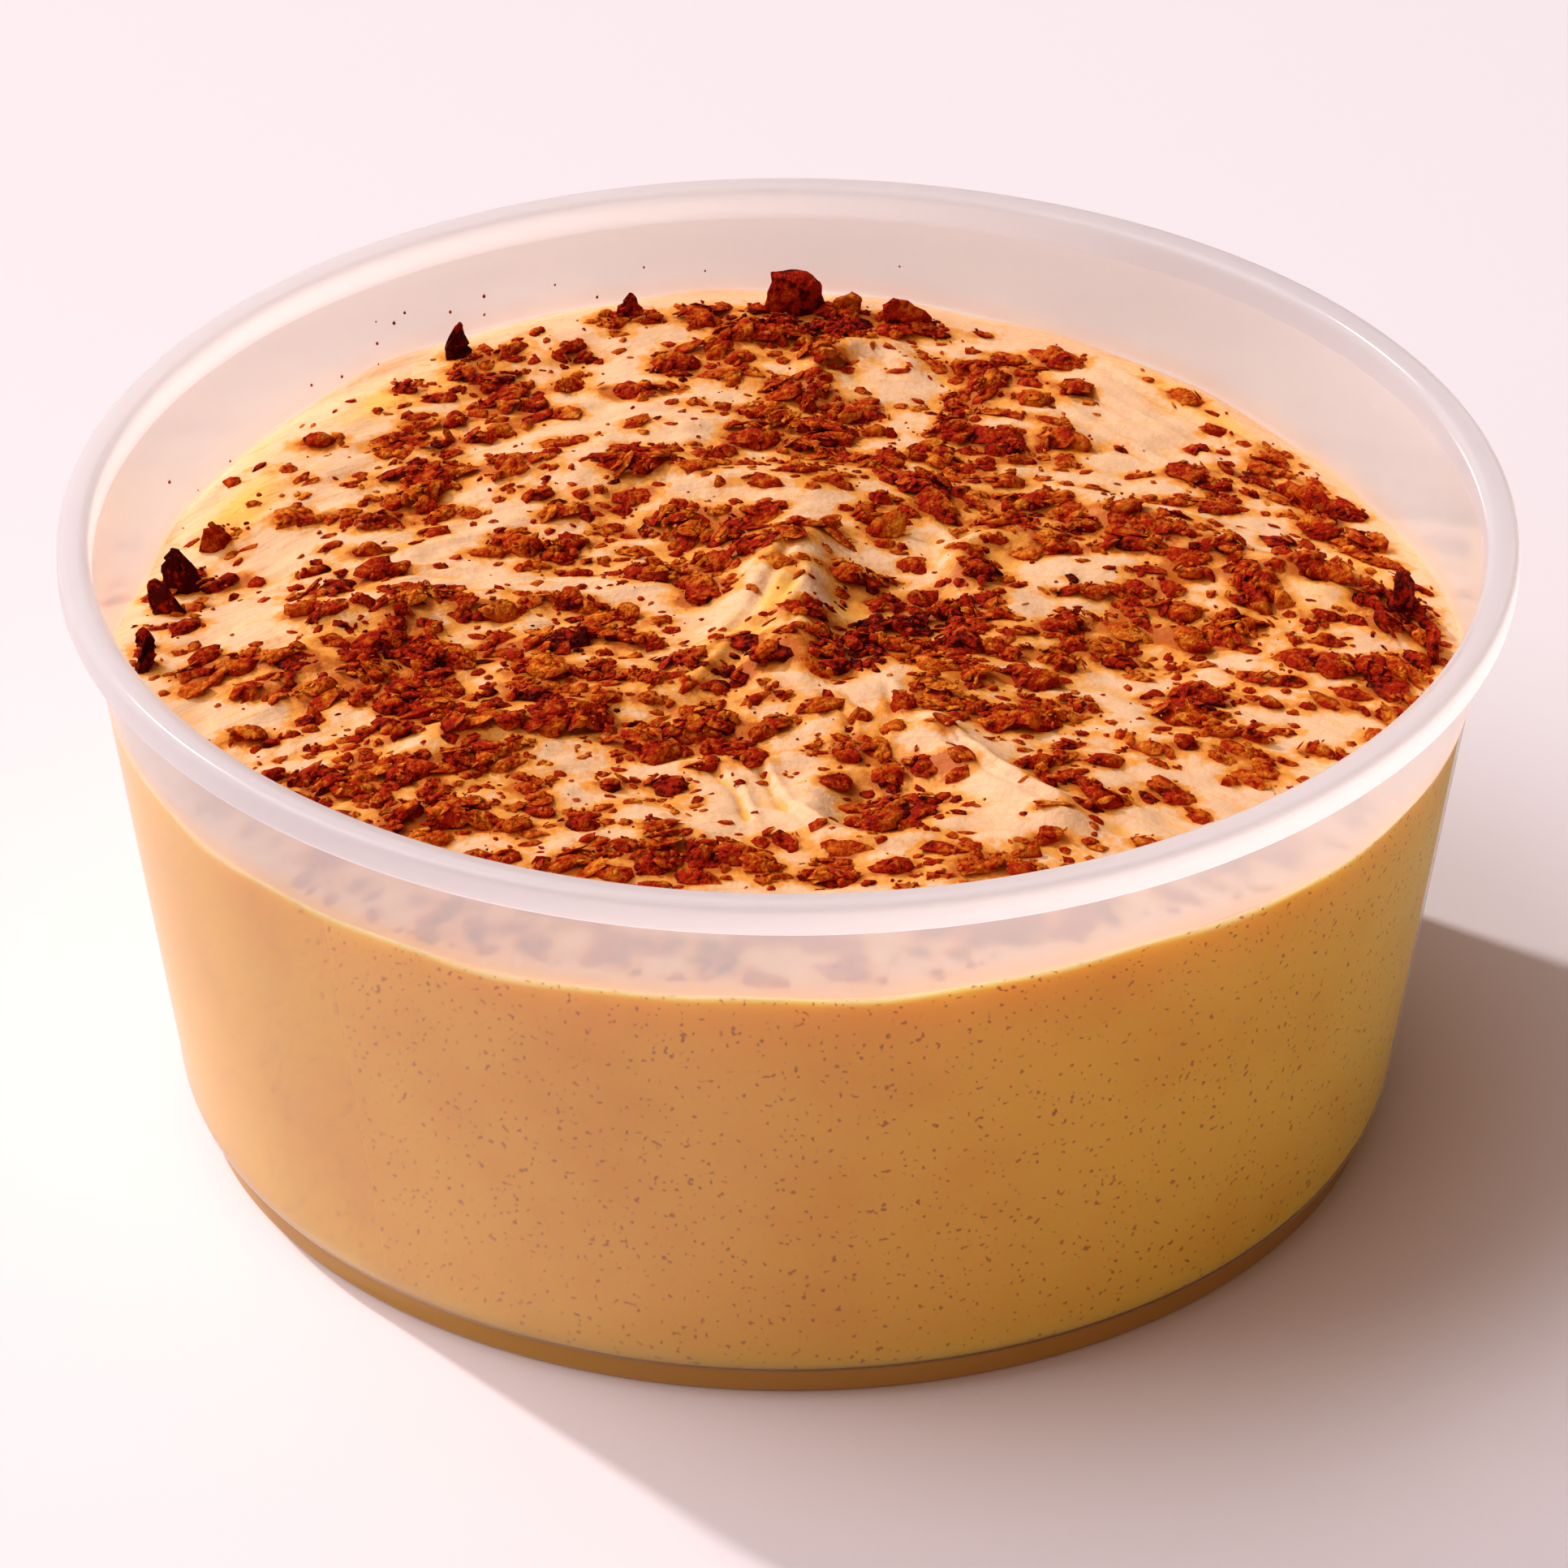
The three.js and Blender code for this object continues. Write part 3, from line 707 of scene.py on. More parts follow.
# Where the bare cream is painted golden for the shade in its dips, and where the chocolate lies
# thicker and is painted darkest, for the shade that falls there.
SHADED_GOLDEN_PATCHES = ovals(
    (-3.4, -4.0, 5.0, 2.6, 65), (-0.8, 2.4, 4.6, 1.5, 75), (-32.5, 38.4, 6, 2.2, 40),
    (-45, 21.5, 6, 2.4, 62), (45.5, 11.5, 6, 3.4, 50), (41.6, 3.4, 3, 2, 0),
    (34, 39.6, 8, 1.6, -46), (-35, -31, 5, 2, -40),
)
SHADED_DARK_PATCHES = ovals(
    (4.4, -4.4, 4.6, 2.6, 60), (6.4, 3.2, 3.6, 3.0, 0), (10.8, 0.6, 4.6, 3.6, 0),
    (-5.4, -7.6, 3.2, 1.3, 0), (-30, -4.6, 4, 1.8, 0), (-18, -3.2, 3.4, 1.7, 0),
    (-21.6, -12.2, 3.6, 1.8, 0), (34.6, -10.8, 3, 2, 0), (10.2, -29.6, 2.4, 2, 0),
    (50, 4.4, 3, 4, 0), (1, 50, 5, 3, 0),
)
# Heights of the cream's edge at even steps round the wall, from +X towards +Y.
EDGE_HEIGHTS = (39.8, 38.7, 40.8, 42.7, 42.4, 40.4, 40.6, 40.6, 41.0, 41.6, 42.0, 40.6)


@dataclass
class Relief:
    """The cream's top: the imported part's ridges, lips and dips, with finer folds over them."""

    shape: TubShape
    gap: float = 0.3
    fill_height: float = 42.2
    edge_flat: float = 3.0
    edge_calm: float = 0.6
    edge_bend: int = 3
    # Bearing, spread and depth of one dip in the edge.
    edge_dip: tuple[float, float, float] = (167.0, 9.0, 2.2)
    fan: float = 0.8
    thin_share: float = 0.3
    bare_share: float = 0.94
    calm_reach: float = 2.0
    calm_share: float = 0.35
    # Height, length over width, width and seed of the spatula's strokes.
    strokes: tuple[tuple[float, ...], ...] = ((0.2, 2.6, 1.7, 3), (0.12, 2.2, 0.9, 4))
    # Height, size and seed of the unevenness that has no direction.
    grains: tuple[tuple[float, ...], ...] = ((0.12, 2.6, 6), (0.07, 1.1, 7))
    slender: float = 1.5
    pull: float = 1.6

    def wall_radius(self) -> float:
        """The solid cream's radius at its middle height."""
        return self.shape.inner_radius(self.fill_height) - self.gap

    def edge_height(self, x: Array, y: Array) -> Array:
        """Height of the cream's edge on the wall at each bearing."""
        count = len(EDGE_HEIGHTS)
        place = bearing(x, y) * count / 360
        low = np.floor(place).astype(int) % count
        heights = np.array(EDGE_HEIGHTS)
        share = smoothstep(place - low)
        middle, spread, depth = self.edge_dip
        dip = depth * bell(off_bearing(x, y, middle) / spread)
        return heights[low] * (1 - share) + heights[(low + 1) % count] * share - dip

    def broad(self, x: Array, y: Array) -> Array:
        """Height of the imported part's top at each plan point."""
        radius = np.hypot(x, y)
        outward = np.minimum(1.0, radius / self.wall_radius()) ** self.edge_bend
        fade = smoothstep((self.wall_radius() - radius + self.edge_flat) / (2 * self.edge_flat))
        marks = sum(form.rise(x, y) for form in (*RIDGES, *LIPS, *HOLLOWS))
        swell = sum(wave.rise(x, y) for wave in SWELL) * (1 - self.edge_calm * outward)
        level = self.fill_height * (1 - outward) + self.edge_height(x, y) * outward
        return level + swell + fade * marks

    def top(self, x: Array, y: Array) -> Array:
        """Height of the finished top: the broad forms, the folds and fine unevenness."""
        calm = smoothstep((self.wall_radius() - np.hypot(x, y)) / self.calm_reach)
        folds = sum(crease.rise(x, y) for crease in CREASES)
        across = self.across(x, y)
        brushed = sum(
            height * lumps(x / stretch, across, size, seed)
            for height, stretch, size, seed in self.strokes
        )
        uneven = sum(height * lumps(x, y, size, seed) for height, size, seed in self.grains)
        fine = (self.calm_share + (1 - self.calm_share) * calm) * (brushed + uneven)
        return self.broad(x, y) + calm * folds + fine

    def across(self, x: Array, y: Array) -> Array:
        """Distance across the spatula's strokes, which fan out by some degrees a millimetre."""
        bend = math.radians(self.fan)
        return y - np.log(np.cos(bend * x)) / bend

    def density(self, x: Array, y: Array) -> Array:
        """How thickly the chocolate lies at each plan point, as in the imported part."""
        thick = most_within(THICK_PATCHES, x, y)
        bare = most_within(BARE_PATCHES, x, y)
        return (self.thin_share + (1 - self.thin_share) * thick) * (1 - self.bare_share * bare)

    def heading(self, x: Array, y: Array) -> Array:
        """Which way the chips lie at each plan point, in degrees: as their patch, or fanned."""
        slender = [patch for patch in THICK_PATCHES if patch.long > self.slender * patch.wide]
        shares = np.array([patch.within(x, y) for patch in slender])
        nearest = np.argmax(shares, axis=0)
        led = np.array([patch.heading for patch in slender])[nearest]
        pull = smoothstep(np.max(shares, axis=0) * self.pull)
        return pull * led - (1 - pull) * self.fan * x


# The chocolate.


def most_within(patches: Sequence[Oval], x: Array, y: Array) -> Array:
    """How far each plan point lies within the nearest of some patches, from 0 to 1."""
    return np.maximum.reduce([patch.within(x, y) for patch in patches])


def blurred(grid: Array, deep: float, across: float) -> Array:
    """Spreads a grid's values softly, over one reach in depth and one across, both in cells."""
    spread = grid
    for axis, reach in enumerate((deep, across)):
        span = int(3 * reach) + 1
        weights = np.exp(-0.5 * (np.arange(-span, span + 1) / reach) ** 2)
        weights /= weights.sum()
        spread = np.apply_along_axis(np.convolve, axis, spread, weights, "same")
    return spread


@dataclass
class Draws:
    """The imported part's own repeatable stream of numbers from 0 to 1."""

    state: int

    def next(self) -> float:
        """The next number."""
        self.state = (self.state * 1664525 + 1013904223) % 2**32
        return self.state / 2**32

    def between(self, span: Point) -> float:
        """The next number, scaled to a span."""
        return span[0] + (span[1] - span[0]) * self.next()


@dataclass
class Bodies:
    """Many small bodies gathered as arrays, to be joined in one mesh."""

    points: list[Array] = field(default_factory=list)
    faces: list[Array] = field(default_factory=list)
    tones: list[Array] = field(default_factory=list)
    count: int = 0

    def take(self, points: Array, faces: Array, tone: float) -> None:
        """Adds one body.

        Args:
            points: its vertices in place.
            faces: its triangles, numbered from 0.
            tone: how dark it is, from 0 to 1.
        """
        self.points.append(points)
        self.faces.append(faces + self.count)
        self.tones.append(np.full(len(points), tone))
        self.count += len(points)

    def join(self, name: str) -> bpy.types.Object:
        """Makes one object of all the bodies.

        Args:
            name: the new object's name.

        Returns:
            The object, with each body's tone at its vertices.
        """
        made = mesh_piece(name, np.vstack(self.points), np.vstack(self.faces))
        write_shares(made, "tone", np.concatenate(self.tones))
        return made


def turned(points: Array, lean_x: float, lean_y: float, heading: float) -> Array:
    """Leans a body over and turns it to its heading, all in degrees."""
    turn = (
        Matrix.Rotation(math.radians(heading), 3, "Z")
        @ Matrix.Rotation(math.radians(lean_y), 3, "Y")
        @ Matrix.Rotation(math.radians(lean_x), 3, "X")
    )
    return points @ np.array(turn).T


# How far a lump's corners wander, how evenly, and how much of it goes straight outward.
LUMP_WANDER = {"offset": 0.11 * MM, "uniform": 0.8, "normal": 0.3}
LUMP_NARROWING = 0.7


def torn_lump(segments: int, rings: int, seed: int) -> tuple[Array, Array]:
    """One uneven lump, one millimetre across.

    Args:
        segments: how many sides it has.
        rings: how many bands it has from end to end.
        seed: which unevenness.

    Returns:
        Its vertices and its triangles.
    """
    deselect()
    bpy.ops.mesh.primitive_uv_sphere_add(segments=segments, ring_count=rings, radius=0.5 * MM)
    lump = bpy.context.object
    edit()
    bpy.ops.transform.vertex_random(seed=seed, **LUMP_WANDER)
    bpy.ops.mesh.quads_convert_to_tris(quad_method="BEAUTY", ngon_method="BEAUTY")
    object_mode()
    points = read_points(lump)
    faces = np.array([tuple(face.vertices) for face in lump.data.polygons])
    mesh = lump.data
    bpy.data.objects.remove(lump)
    bpy.data.meshes.remove(mesh)
    narrowing = 1 + LUMP_NARROWING * points[:, :1] * (1 if seed % 2 else -1)
    return points * np.hstack([np.ones_like(narrowing), narrowing, narrowing**0.5]), faces


@dataclass(frozen=True)
class Laid:
    """Where a chip lies: its plan place, its length, width and heading, and how high it reaches."""

    x: float
    y: float
    length: float
    width: float
    heading: float
    top: float


@dataclass
class Ground:
    """What a chip comes to lie on: heights on a fine grid, raised by every chip laid so far."""

    relief: Relief
    cell: float = 0.25
    half: float = 57.0
    tallest_heap: float = 1.4

    def __post_init__(self) -> None:
        """Starts from the bare cream."""
        count = round(2 * self.half / self.cell)
        line = (np.arange(count) + 0.5) * self.cell - self.half
        self.x, self.y = np.meshgrid(line, line)
        self.bare = self.relief.top(self.x, self.y)
        self.height = self.bare.copy()
        self.covered = np.zeros_like(self.bare)

    def cells(self, x: Any, y: Any) -> tuple[Any, Any]:
        """Row and column of the cell at each plan point."""
        last = len(self.bare) - 1
        row, column = (
            np.clip(((np.asarray(place) + self.half) / self.cell).astype(int), 0, last)
            for place in (y, x)
        )
        return row, column

    def level(self, x: Any, y: Any) -> Array:
        """How high the chips and the cream reach at each plan point."""
        place = self.cells(x, y)
        return np.minimum(self.height[place], self.bare[place] + self.tallest_heap)

    def lay(self, laid: Laid) -> None:
        """Raises the grid where a chip now lies."""
        row, column = self.cells(laid.x, laid.y)
        reach = int(laid.length / 2 / self.cell) + 1
        rows = slice(max(0, row - reach), row + reach + 1)
        columns = slice(max(0, column - reach), column + reach + 1)
        dx, dy = self.x[rows, columns] - laid.x, self.y[rows, columns] - laid.y
        along, across = along_across(dx, dy, laid.heading)
        inside = (along * 2 / laid.length) ** 2 + (across * 2 / laid.width) ** 2 < 1
        height = self.height[rows, columns]
        height[inside] = np.maximum(height[inside], laid.top)
        self.covered[rows, columns][inside] = 1.0


@dataclass(frozen=True)
class Shard:
    """A standing chip: its sizes, and how far its top narrows and leans along its length."""

    at: Point
    heading: float
    length: float
    width: float
    height: float
    crown: float
    tip: float
    tone: float


SHARDS = (
    Shard((0.3, 52.0), 2, 5.2, 2.6, 3.2, 0.7, 0, 1.1),
    Shard((4.9, 51.8), 10, 3.2, 1.5, 1.7, 0.5, 0.1, 0.4),
    Shard((10.7, 50.6), -6, 4.8, 1.7, 2.6, 0.3, -0.25, 0.8),
    Shard((-48.9, 11.2), 8, 4.2, 1.7, 3.4, 0.3, -0.35, 1.9),
    Shard((-50.3, 6.2), -20, 3.6, 1.4, 2.7, 0.3, -0.35, 1.5),
    Shard((-52.0, -0.2), -30, 2.4, 1.2, 1.8, 0.35, -0.2, 1.4),
    Shard((-51.9, -4.0), 60, 2.6, 1.3, 2.6, 0.3, 0.2, 1.6),
    Shard((-46.7, 17.4), 20, 3.0, 1.4, 1.9, 0.35, -0.2, 0.7),
    Shard((-28.0, 45.2), 25, 3.0, 1.5, 2.4, 0.3, 0, 1.5),
    Shard((-13.5, 50.6), 0, 2.2, 1.3, 1.8, 0.5, 0, 1.2),
    Shard((50.0, 5.4), 80, 3.4, 1.8, 3.4, 0.6, 0, 1.3),
    Shard((52.3, -0.4), 94, 5.6, 0.9, 1.5, 0.6, 0, 1.2),
    Shard((43.2, 24.2), -48, 8.0, 1.7, 1.8, 0.6, 0, 0.7),
)


@dataclass
class CoarseChips:
    """The largest chips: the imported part's own, at the same places, rounded and roughened."""

    relief: Relief
    count: int = 180
    seed: int = 41
    longest: float = 6.0
    shortest: float = 2.6
    slimness: Point = (0.4, 0.7)
    fewest_sides: int = 5
    corner_wander: float = 0.35
    outline_reach: Point = (0.82, 1.18)
    crown_inset: Point = (0.62, 0.87)
    crown_rise: Point = (0.75, 1.15)
    thickness: Point = (0.9, 1.4)
    sunk: float = 0.4
    crown_level: float = 0.9
    spacing: float = 0.8
    edge_clearance: float = 1.2
    lean: float = 14
    turn_wander: float = 38
    tries: int = 6000
    shard_sunk: float = 1.0
    shard_crown_spread: float = 0.1
    # How much of each edge stays sharp, and what the shards regain of the size that rounding takes.
    crease: float = 0.15
    shard_crease: float = 0.2
    regained: Point = (1.32, 1.1)
    tone_seed: int = 11
    tones: Point = (0.1, 0.9)
    # Size, reach and seed of the roughness, and how it slants as it goes up.
    roughness: tuple[tuple[float, float, int], ...] = ((1.7, 0.36, 21), (0.8, 0.2, 24))
    slant: Point = (3.1, -2.3)
    rounding_levels: int = 2
    sharpest_smooth: float = 60.0

    def __post_init__(self) -> None:
        """Starts the stream of numbers and works out every chip's place."""
        self.draws = Draws(self.seed)
        self.standing = [self.shard(shard) for shard in SHARDS]
        self.lying = [self.chip(*place) for place in self.spots()]

    def block(
        self, length: float, width: float, thickness: float, crown_inset: Point, tip: float
    ) -> tuple[Array, Array]:
        """One low block on an uneven outline, narrower above than below.

        Args:
            length: its length.
            width: its width.
            thickness: its height.
            crown_inset: how far its top is drawn in, as shares of its outline.
            tip: how far along its length the top lies off its middle, as a share.

        Returns:
            Its vertices and its faces.
        """
        sides = self.fewest_sides + round(self.draws.next())
        foot = []
        for side in range(sides):
            wander = self.corner_wander * (self.draws.next() - 0.5)
            turn = FULL_TURN * (side + wander) / sides
            reach = self.draws.between(self.outline_reach) / 2
            foot.append((length * reach * math.cos(turn), width * reach * math.sin(turn), 0.0))
        crown = []
        for x, y, _ in foot:
            inset = self.draws.between(crown_inset)
            rise = thickness * self.draws.between(self.crown_rise)
            crown.append((x * inset + tip * length, y * inset, rise))
        faces = []
        for side in range(sides):
            after = (side + 1) % sides
            faces += [(side, after, sides + after), (side, sides + after, sides + side)]
        for side in range(1, sides - 1):
            faces += [(0, side + 1, side), (sides, sides + side, sides + side + 1)]
        return np.array(foot + crown), np.array(faces)

    def spots(self) -> list[tuple[float, float, float]]:
        """Largest first: a spot is kept if chance allows it and no chip is too near.

        Returns:
            Plan place and length of each chip.
        """
        shape = self.relief.shape
        reach = shape.inner_radius(min(EDGE_HEIGHTS)) - self.relief.gap - self.edge_clearance
        places: list[tuple[float, float, float]] = []
        for _ in range(self.tries):
            if len(places) == self.count:
                break
            share = math.sqrt(len(places) / self.count)
            length = self.longest + (self.shortest - self.longest) * share
            radius = (reach - length / 2) * math.sqrt(self.draws.next())
            turn = FULL_TURN * self.draws.next()
            x, y = radius * math.cos(turn), radius * math.sin(turn)
            allowed = self.draws.next() < self.relief.density(x, y)
            near = self.spacing / 2
            crowded = any(
                math.hypot(px - x, py - y) < near * (other + length) for px, py, other in places
            )
            if allowed and not crowded:
                places.append((x, y, length))
        return places

    def chip(self, x: float, y: float, length: float) -> tuple[Array, Array, Laid]:
        """One lying chip in its place.

        Args:
            x: its place across.
            y: its place in depth.
            length: its length.

        Returns:
            Its vertices, its faces and where it lies.
        """
        width = length * self.draws.between(self.slimness)
        thickness = self.draws.between(self.thickness)
        points, faces = self.block(length, width, thickness, self.crown_inset, 0.0)
        heading = self.turn_wander * (2 * self.draws.next() - 1) - self.relief.fan * x
        lean = self.lean * (2 * self.draws.next() - 1)
        height = float(self.relief.broad(x, y))
        lift = (x, y, height - self.sunk * thickness)
        top = height + (self.crown_level - self.sunk) * thickness
        laid = Laid(x, y, length, width, heading, top)
        return turned(points, lean, 0, heading) + lift, faces, laid

    def shard(self, shard: Shard) -> tuple[Array, Array, Laid]:
        """One shard that stands up out of the cream near the wall.

        Args:
            shard: its place and its sizes.

        Returns:
            Its vertices, its faces and where it stands.
        """
        x, y = shard.at
        inset = (shard.crown - self.shard_crown_spread, shard.crown + self.shard_crown_spread)
        tall = shard.height + self.shard_sunk
        points, faces = self.block(shard.length, shard.width, tall, inset, shard.tip)
        level = float(self.relief.broad(x, y))
        laid = Laid(x, y, shard.length, shard.width, shard.heading, level)
        lift = (x, y, level - self.shard_sunk)
        return turned(points, 0, 0, shard.heading) + lift, faces, laid

    def build(self, ground: Ground) -> list[bpy.types.Object]:
        """Builds the lying chips and the standing shards.

        Args:
            ground: what finer chips will lie on, which these raise.

        Returns:
            The piece of lying chips and the piece of shards.
        """
        rng = np.random.default_rng(self.tone_seed)
        lying_tones = rng.uniform(*self.tones, len(self.lying))
        shard_tones = [shard.tone for shard in SHARDS]
        pieces = []
        for name, chips, tones, crease, (wider, taller) in (
            ("chocolate_chips_coarse", self.lying, lying_tones, self.crease, (1.0, 1.0)),
            ("chocolate_shards", self.standing, shard_tones, self.shard_crease, self.regained),
        ):
            bodies = Bodies()
            for (points, faces, laid), tone in zip(chips, tones):
                foot = np.array([laid.x, laid.y, points[:, 2].min()])
                grown = foot + (points - foot) * (wider, wider, taller)
                bodies.take(grown, faces, tone)
                ground.lay(laid)
            piece = bodies.join(name)
            self.soften(piece, crease)
            smooth(piece, self.sharpest_smooth)
            pieces.append(piece)
        return pieces

    def soften(self, piece: bpy.types.Object, crease: float) -> None:
        """Rounds the blocks and roughens them, as a grater tears chocolate.

        Args:
            piece: the joined blocks.
            crease: how much of each edge stays sharp.
        """
        layer = piece.data.attributes.new("crease_edge", "FLOAT", "EDGE")
        layer.data.foreach_set("value", np.full(len(piece.data.edges), crease, dtype=np.float32))
        activate(piece)
        modifier = piece.modifiers.new("round", "SUBSURF")
        modifier.levels = modifier.render_levels = self.rounding_levels
        bpy.ops.object.modifier_apply(modifier=modifier.name)
        points = read_points(piece)
        x, y, z = points.T
        x, y = x + self.slant[0] * z, y + self.slant[1] * z
        for size, reach, seed in self.roughness:
            shift = [lumps(x, y, size, seed + axis) for axis in range(3)]
            points = points + reach * np.array(shift).T
        write_points(piece, points)


@dataclass
class ChipKind:
    """How one size of chip is made and strewn."""

    name: str
    count: int
    segments: int
    rings: int
    lengths: Point
    slimness: Point
    flatness: Point
    raised: float
    lean: float
    wander: float
    gather: float
    loose: float
    seed: int
    forms: int = 12


@dataclass
class FineChips:
    """The finer chips of one kind, each a copy of one of a few torn lumps."""

    relief: Relief
    kind: ChipKind
    form_seeds: int = 50
    batch: int = 4000
    edge_clearance: float = 0.4
    # Most chips of a kind are short.
    length_skew: float = 1.7
    clump: float = 0.6
    clump_size: float = 2.2
    clump_seed: int = 7
    rarest: float = 0.01
    tone_middle: float = 0.36
    tone_drift: float = 0.34
    tone_drift_size: float = 3.4
    tone_drift_seed: int = 61
    tone_spread: float = 0.22
    # How much the painted shade in the dark patches darkens a chip, and the darkest tone any chip
    # gets.
    shade_darkening: float = 0.7
    darkest: float = 1.4
    # A chip rests on four points, this share of its size from its middle.
    rest_share: float = 0.35
    steepest: float = 0.7
    lean_spread: float = 0.5
    top_share: float = 0.4
    sharpest_smooth: float = 75.0

    def spots(self, rng: np.random.Generator, ground: Ground) -> Array:
        """Draws every chip's place and length, so that most fall where the chocolate is thick.

        Args:
            rng: the seeded stream of numbers.
            ground: where larger chips lie already.

        Returns:
            Plan place and length of each chip, the longest first.
        """
        kind, batch = self.kind, self.batch
        reach = self.relief.shape.inner_radius(min(EDGE_HEIGHTS)) - self.edge_clearance
        kept: list[Array] = []
        while sum(len(group) for group in kept) < kind.count:
            longer = rng.random(batch) ** self.length_skew
            length = kind.lengths[0] + np.ptp(kind.lengths) * longer
            radius = (reach - length / 2) * np.sqrt(rng.random(batch))
            turn = FULL_TURN * rng.random(batch)
            x, y = radius * np.cos(turn), radius * np.sin(turn)
            clump = self.clump * lumps(x, y, self.clump_size, kind.seed + self.clump_seed)
            thick = np.maximum(self.relief.density(x, y), most_within(SHADED_DARK_PATCHES, x, y))
            allowed = np.clip(thick * (1 + clump), self.rarest, 1) ** kind.gather
            allowed *= np.where(ground.covered[ground.cells(x, y)] > 0, 1.0, kind.loose)
            chosen = rng.random(batch) < allowed
            kept.append(np.stack([x, y, length], axis=1)[chosen])
        places = np.vstack(kept)[: kind.count]
        return places[np.argsort(-places[:, 2])]

    def build(self, ground: Ground) -> bpy.types.Object:
        """Strews the chips over the cream and over each other, and joins them.

        Args:
            ground: what they come to lie on, which they raise.

        Returns:
            One piece of all the chips of this kind.
        """
        kind = self.kind
        rng = np.random.default_rng(kind.seed)
        forms = [
            torn_lump(kind.segments, kind.rings, kind.seed * self.form_seeds + number)
            for number in range(kind.forms)
        ]
        places = self.spots(rng, ground)
        x, y, _ = places.T
        drift = lumps(x, y, self.tone_drift_size, self.tone_drift_seed)
        tones = self.tone_middle + self.tone_drift * drift
        tones += rng.normal(0, self.tone_spread, len(places))
        # Painted shade: chips in the shaded dark patches are made darker.
        tones += self.shade_darkening * most_within(SHADED_DARK_PATCHES, x, y)
        tones = np.clip(tones, 0, self.darkest)
        headings = self.relief.heading(x, y)
        headings = headings + kind.wander * (2 * rng.random(len(places)) - 1)
        bodies = Bodies()
        for (x, y, length), heading, tone in zip(places, headings, tones):
            points, faces = forms[rng.integers(kind.forms)]
            slim, flat = rng.uniform(*kind.slimness), rng.uniform(*kind.flatness)
            sizes = np.array([1.0, slim, slim * flat]) * length
            reach, side = self.rest_share * length, self.rest_share * length * slim
            ahead, aside = np.array([[reach, -reach, 0, 0], [0, 0, side, -side]])
            step_x, step_y = along_across(ahead, aside, -heading)
            levels = ground.level(x + step_x, y + step_y)
            rises = levels[::2] - levels[1::2]
            pitch, roll = np.clip(rises / (2 * reach, 2 * side), -self.steepest, self.steepest)
            body = points * sizes
            body[:, 2] += body[:, 0] * pitch + body[:, 1] * roll
            leans = kind.lean * rng.normal(0, self.lean_spread, 2)
            body = turned(body, leans[0], leans[1], heading)
            level = float(levels.mean())
            body += (x, y, level + kind.raised * sizes[2])
            bodies.take(body, faces, tone)
            top = level + (kind.raised + self.top_share) * sizes[2]
            ground.lay(Laid(x, y, length, sizes[1], heading, top))
        piece = bodies.join(kind.name)
        smooth(piece, self.sharpest_smooth)
        return piece


MEDIUM = ChipKind(
    name="chocolate_chips_medium",
    count=1400,
    segments=8,
    rings=5,
    lengths=(1.2, 4.0),
    slimness=(0.36, 0.8),
    flatness=(0.24, 0.46),
    raised=0.03,
    lean=9,
    wander=32,
    gather=1.1,
    loose=0.9,
    seed=5,
)
SMALL = ChipKind(
    name="chocolate_chips_small",
    count=3000,
    segments=6,
    rings=4,
    lengths=(0.6, 1.7),
    slimness=(0.38, 0.9),
    flatness=(0.3, 0.6),
    raised=0.05,
    lean=14,
    wander=50,
    gather=1.0,
    loose=0.55,
    seed=6,
)
CRUMBS = ChipKind(
    name="chocolate_crumbs",
    count=4200,
    segments=5,
    rings=4,
    lengths=(0.22, 0.65),
    slimness=(0.5, 0.95),
    flatness=(0.5, 0.85),
    raised=0.12,
    lean=25,
    wander=90,
    gather=0.8,
    loose=0.12,
    seed=8,
)


@dataclass
class WallCrumbs:
    """The few crumbs that stick to the tub's dry inner wall, most of them at the back left."""

    relief: Relief
    count: int = 18
    seed: int = 9
    # Middle and spread of their bearings.
    bearings: Point = (128.0, 26.0)
    rise: Point = (0.5, 4.5)
    rise_skew: float = 1.6
    sizes: Point = (0.16, 0.36)
    pressed: float = 0.25
    flattened: tuple[float, float, float] = (0.7, 1.0, 1.0)
    tones: Point = (0.3, 0.9)

    def build(self) -> bpy.types.Object:
        """Presses each crumb to the wall.

        Returns:
            One piece of all the crumbs.
        """
        rng = np.random.default_rng(self.seed)
        lump = torn_lump(5, 4, self.seed)
        bodies = Bodies()
        for _ in range(self.count):
            turn = math.radians(rng.normal(*self.bearings))
            across = np.array([math.cos(turn), math.sin(turn)])
            higher = rng.random() ** self.rise_skew
            height = self.relief.edge_height(*across) + self.rise[0] + np.ptp(self.rise) * higher
            size = rng.uniform(*self.sizes)
            radius = self.relief.shape.inner_radius(height) - self.pressed * size
            body = turned(lump[0] * size * self.flattened, 0, 0, math.degrees(turn))
            bodies.take(body + (*(across * radius), height), lump[1], rng.uniform(*self.tones))
        return bodies.join("chocolate_crumbs_on_wall")


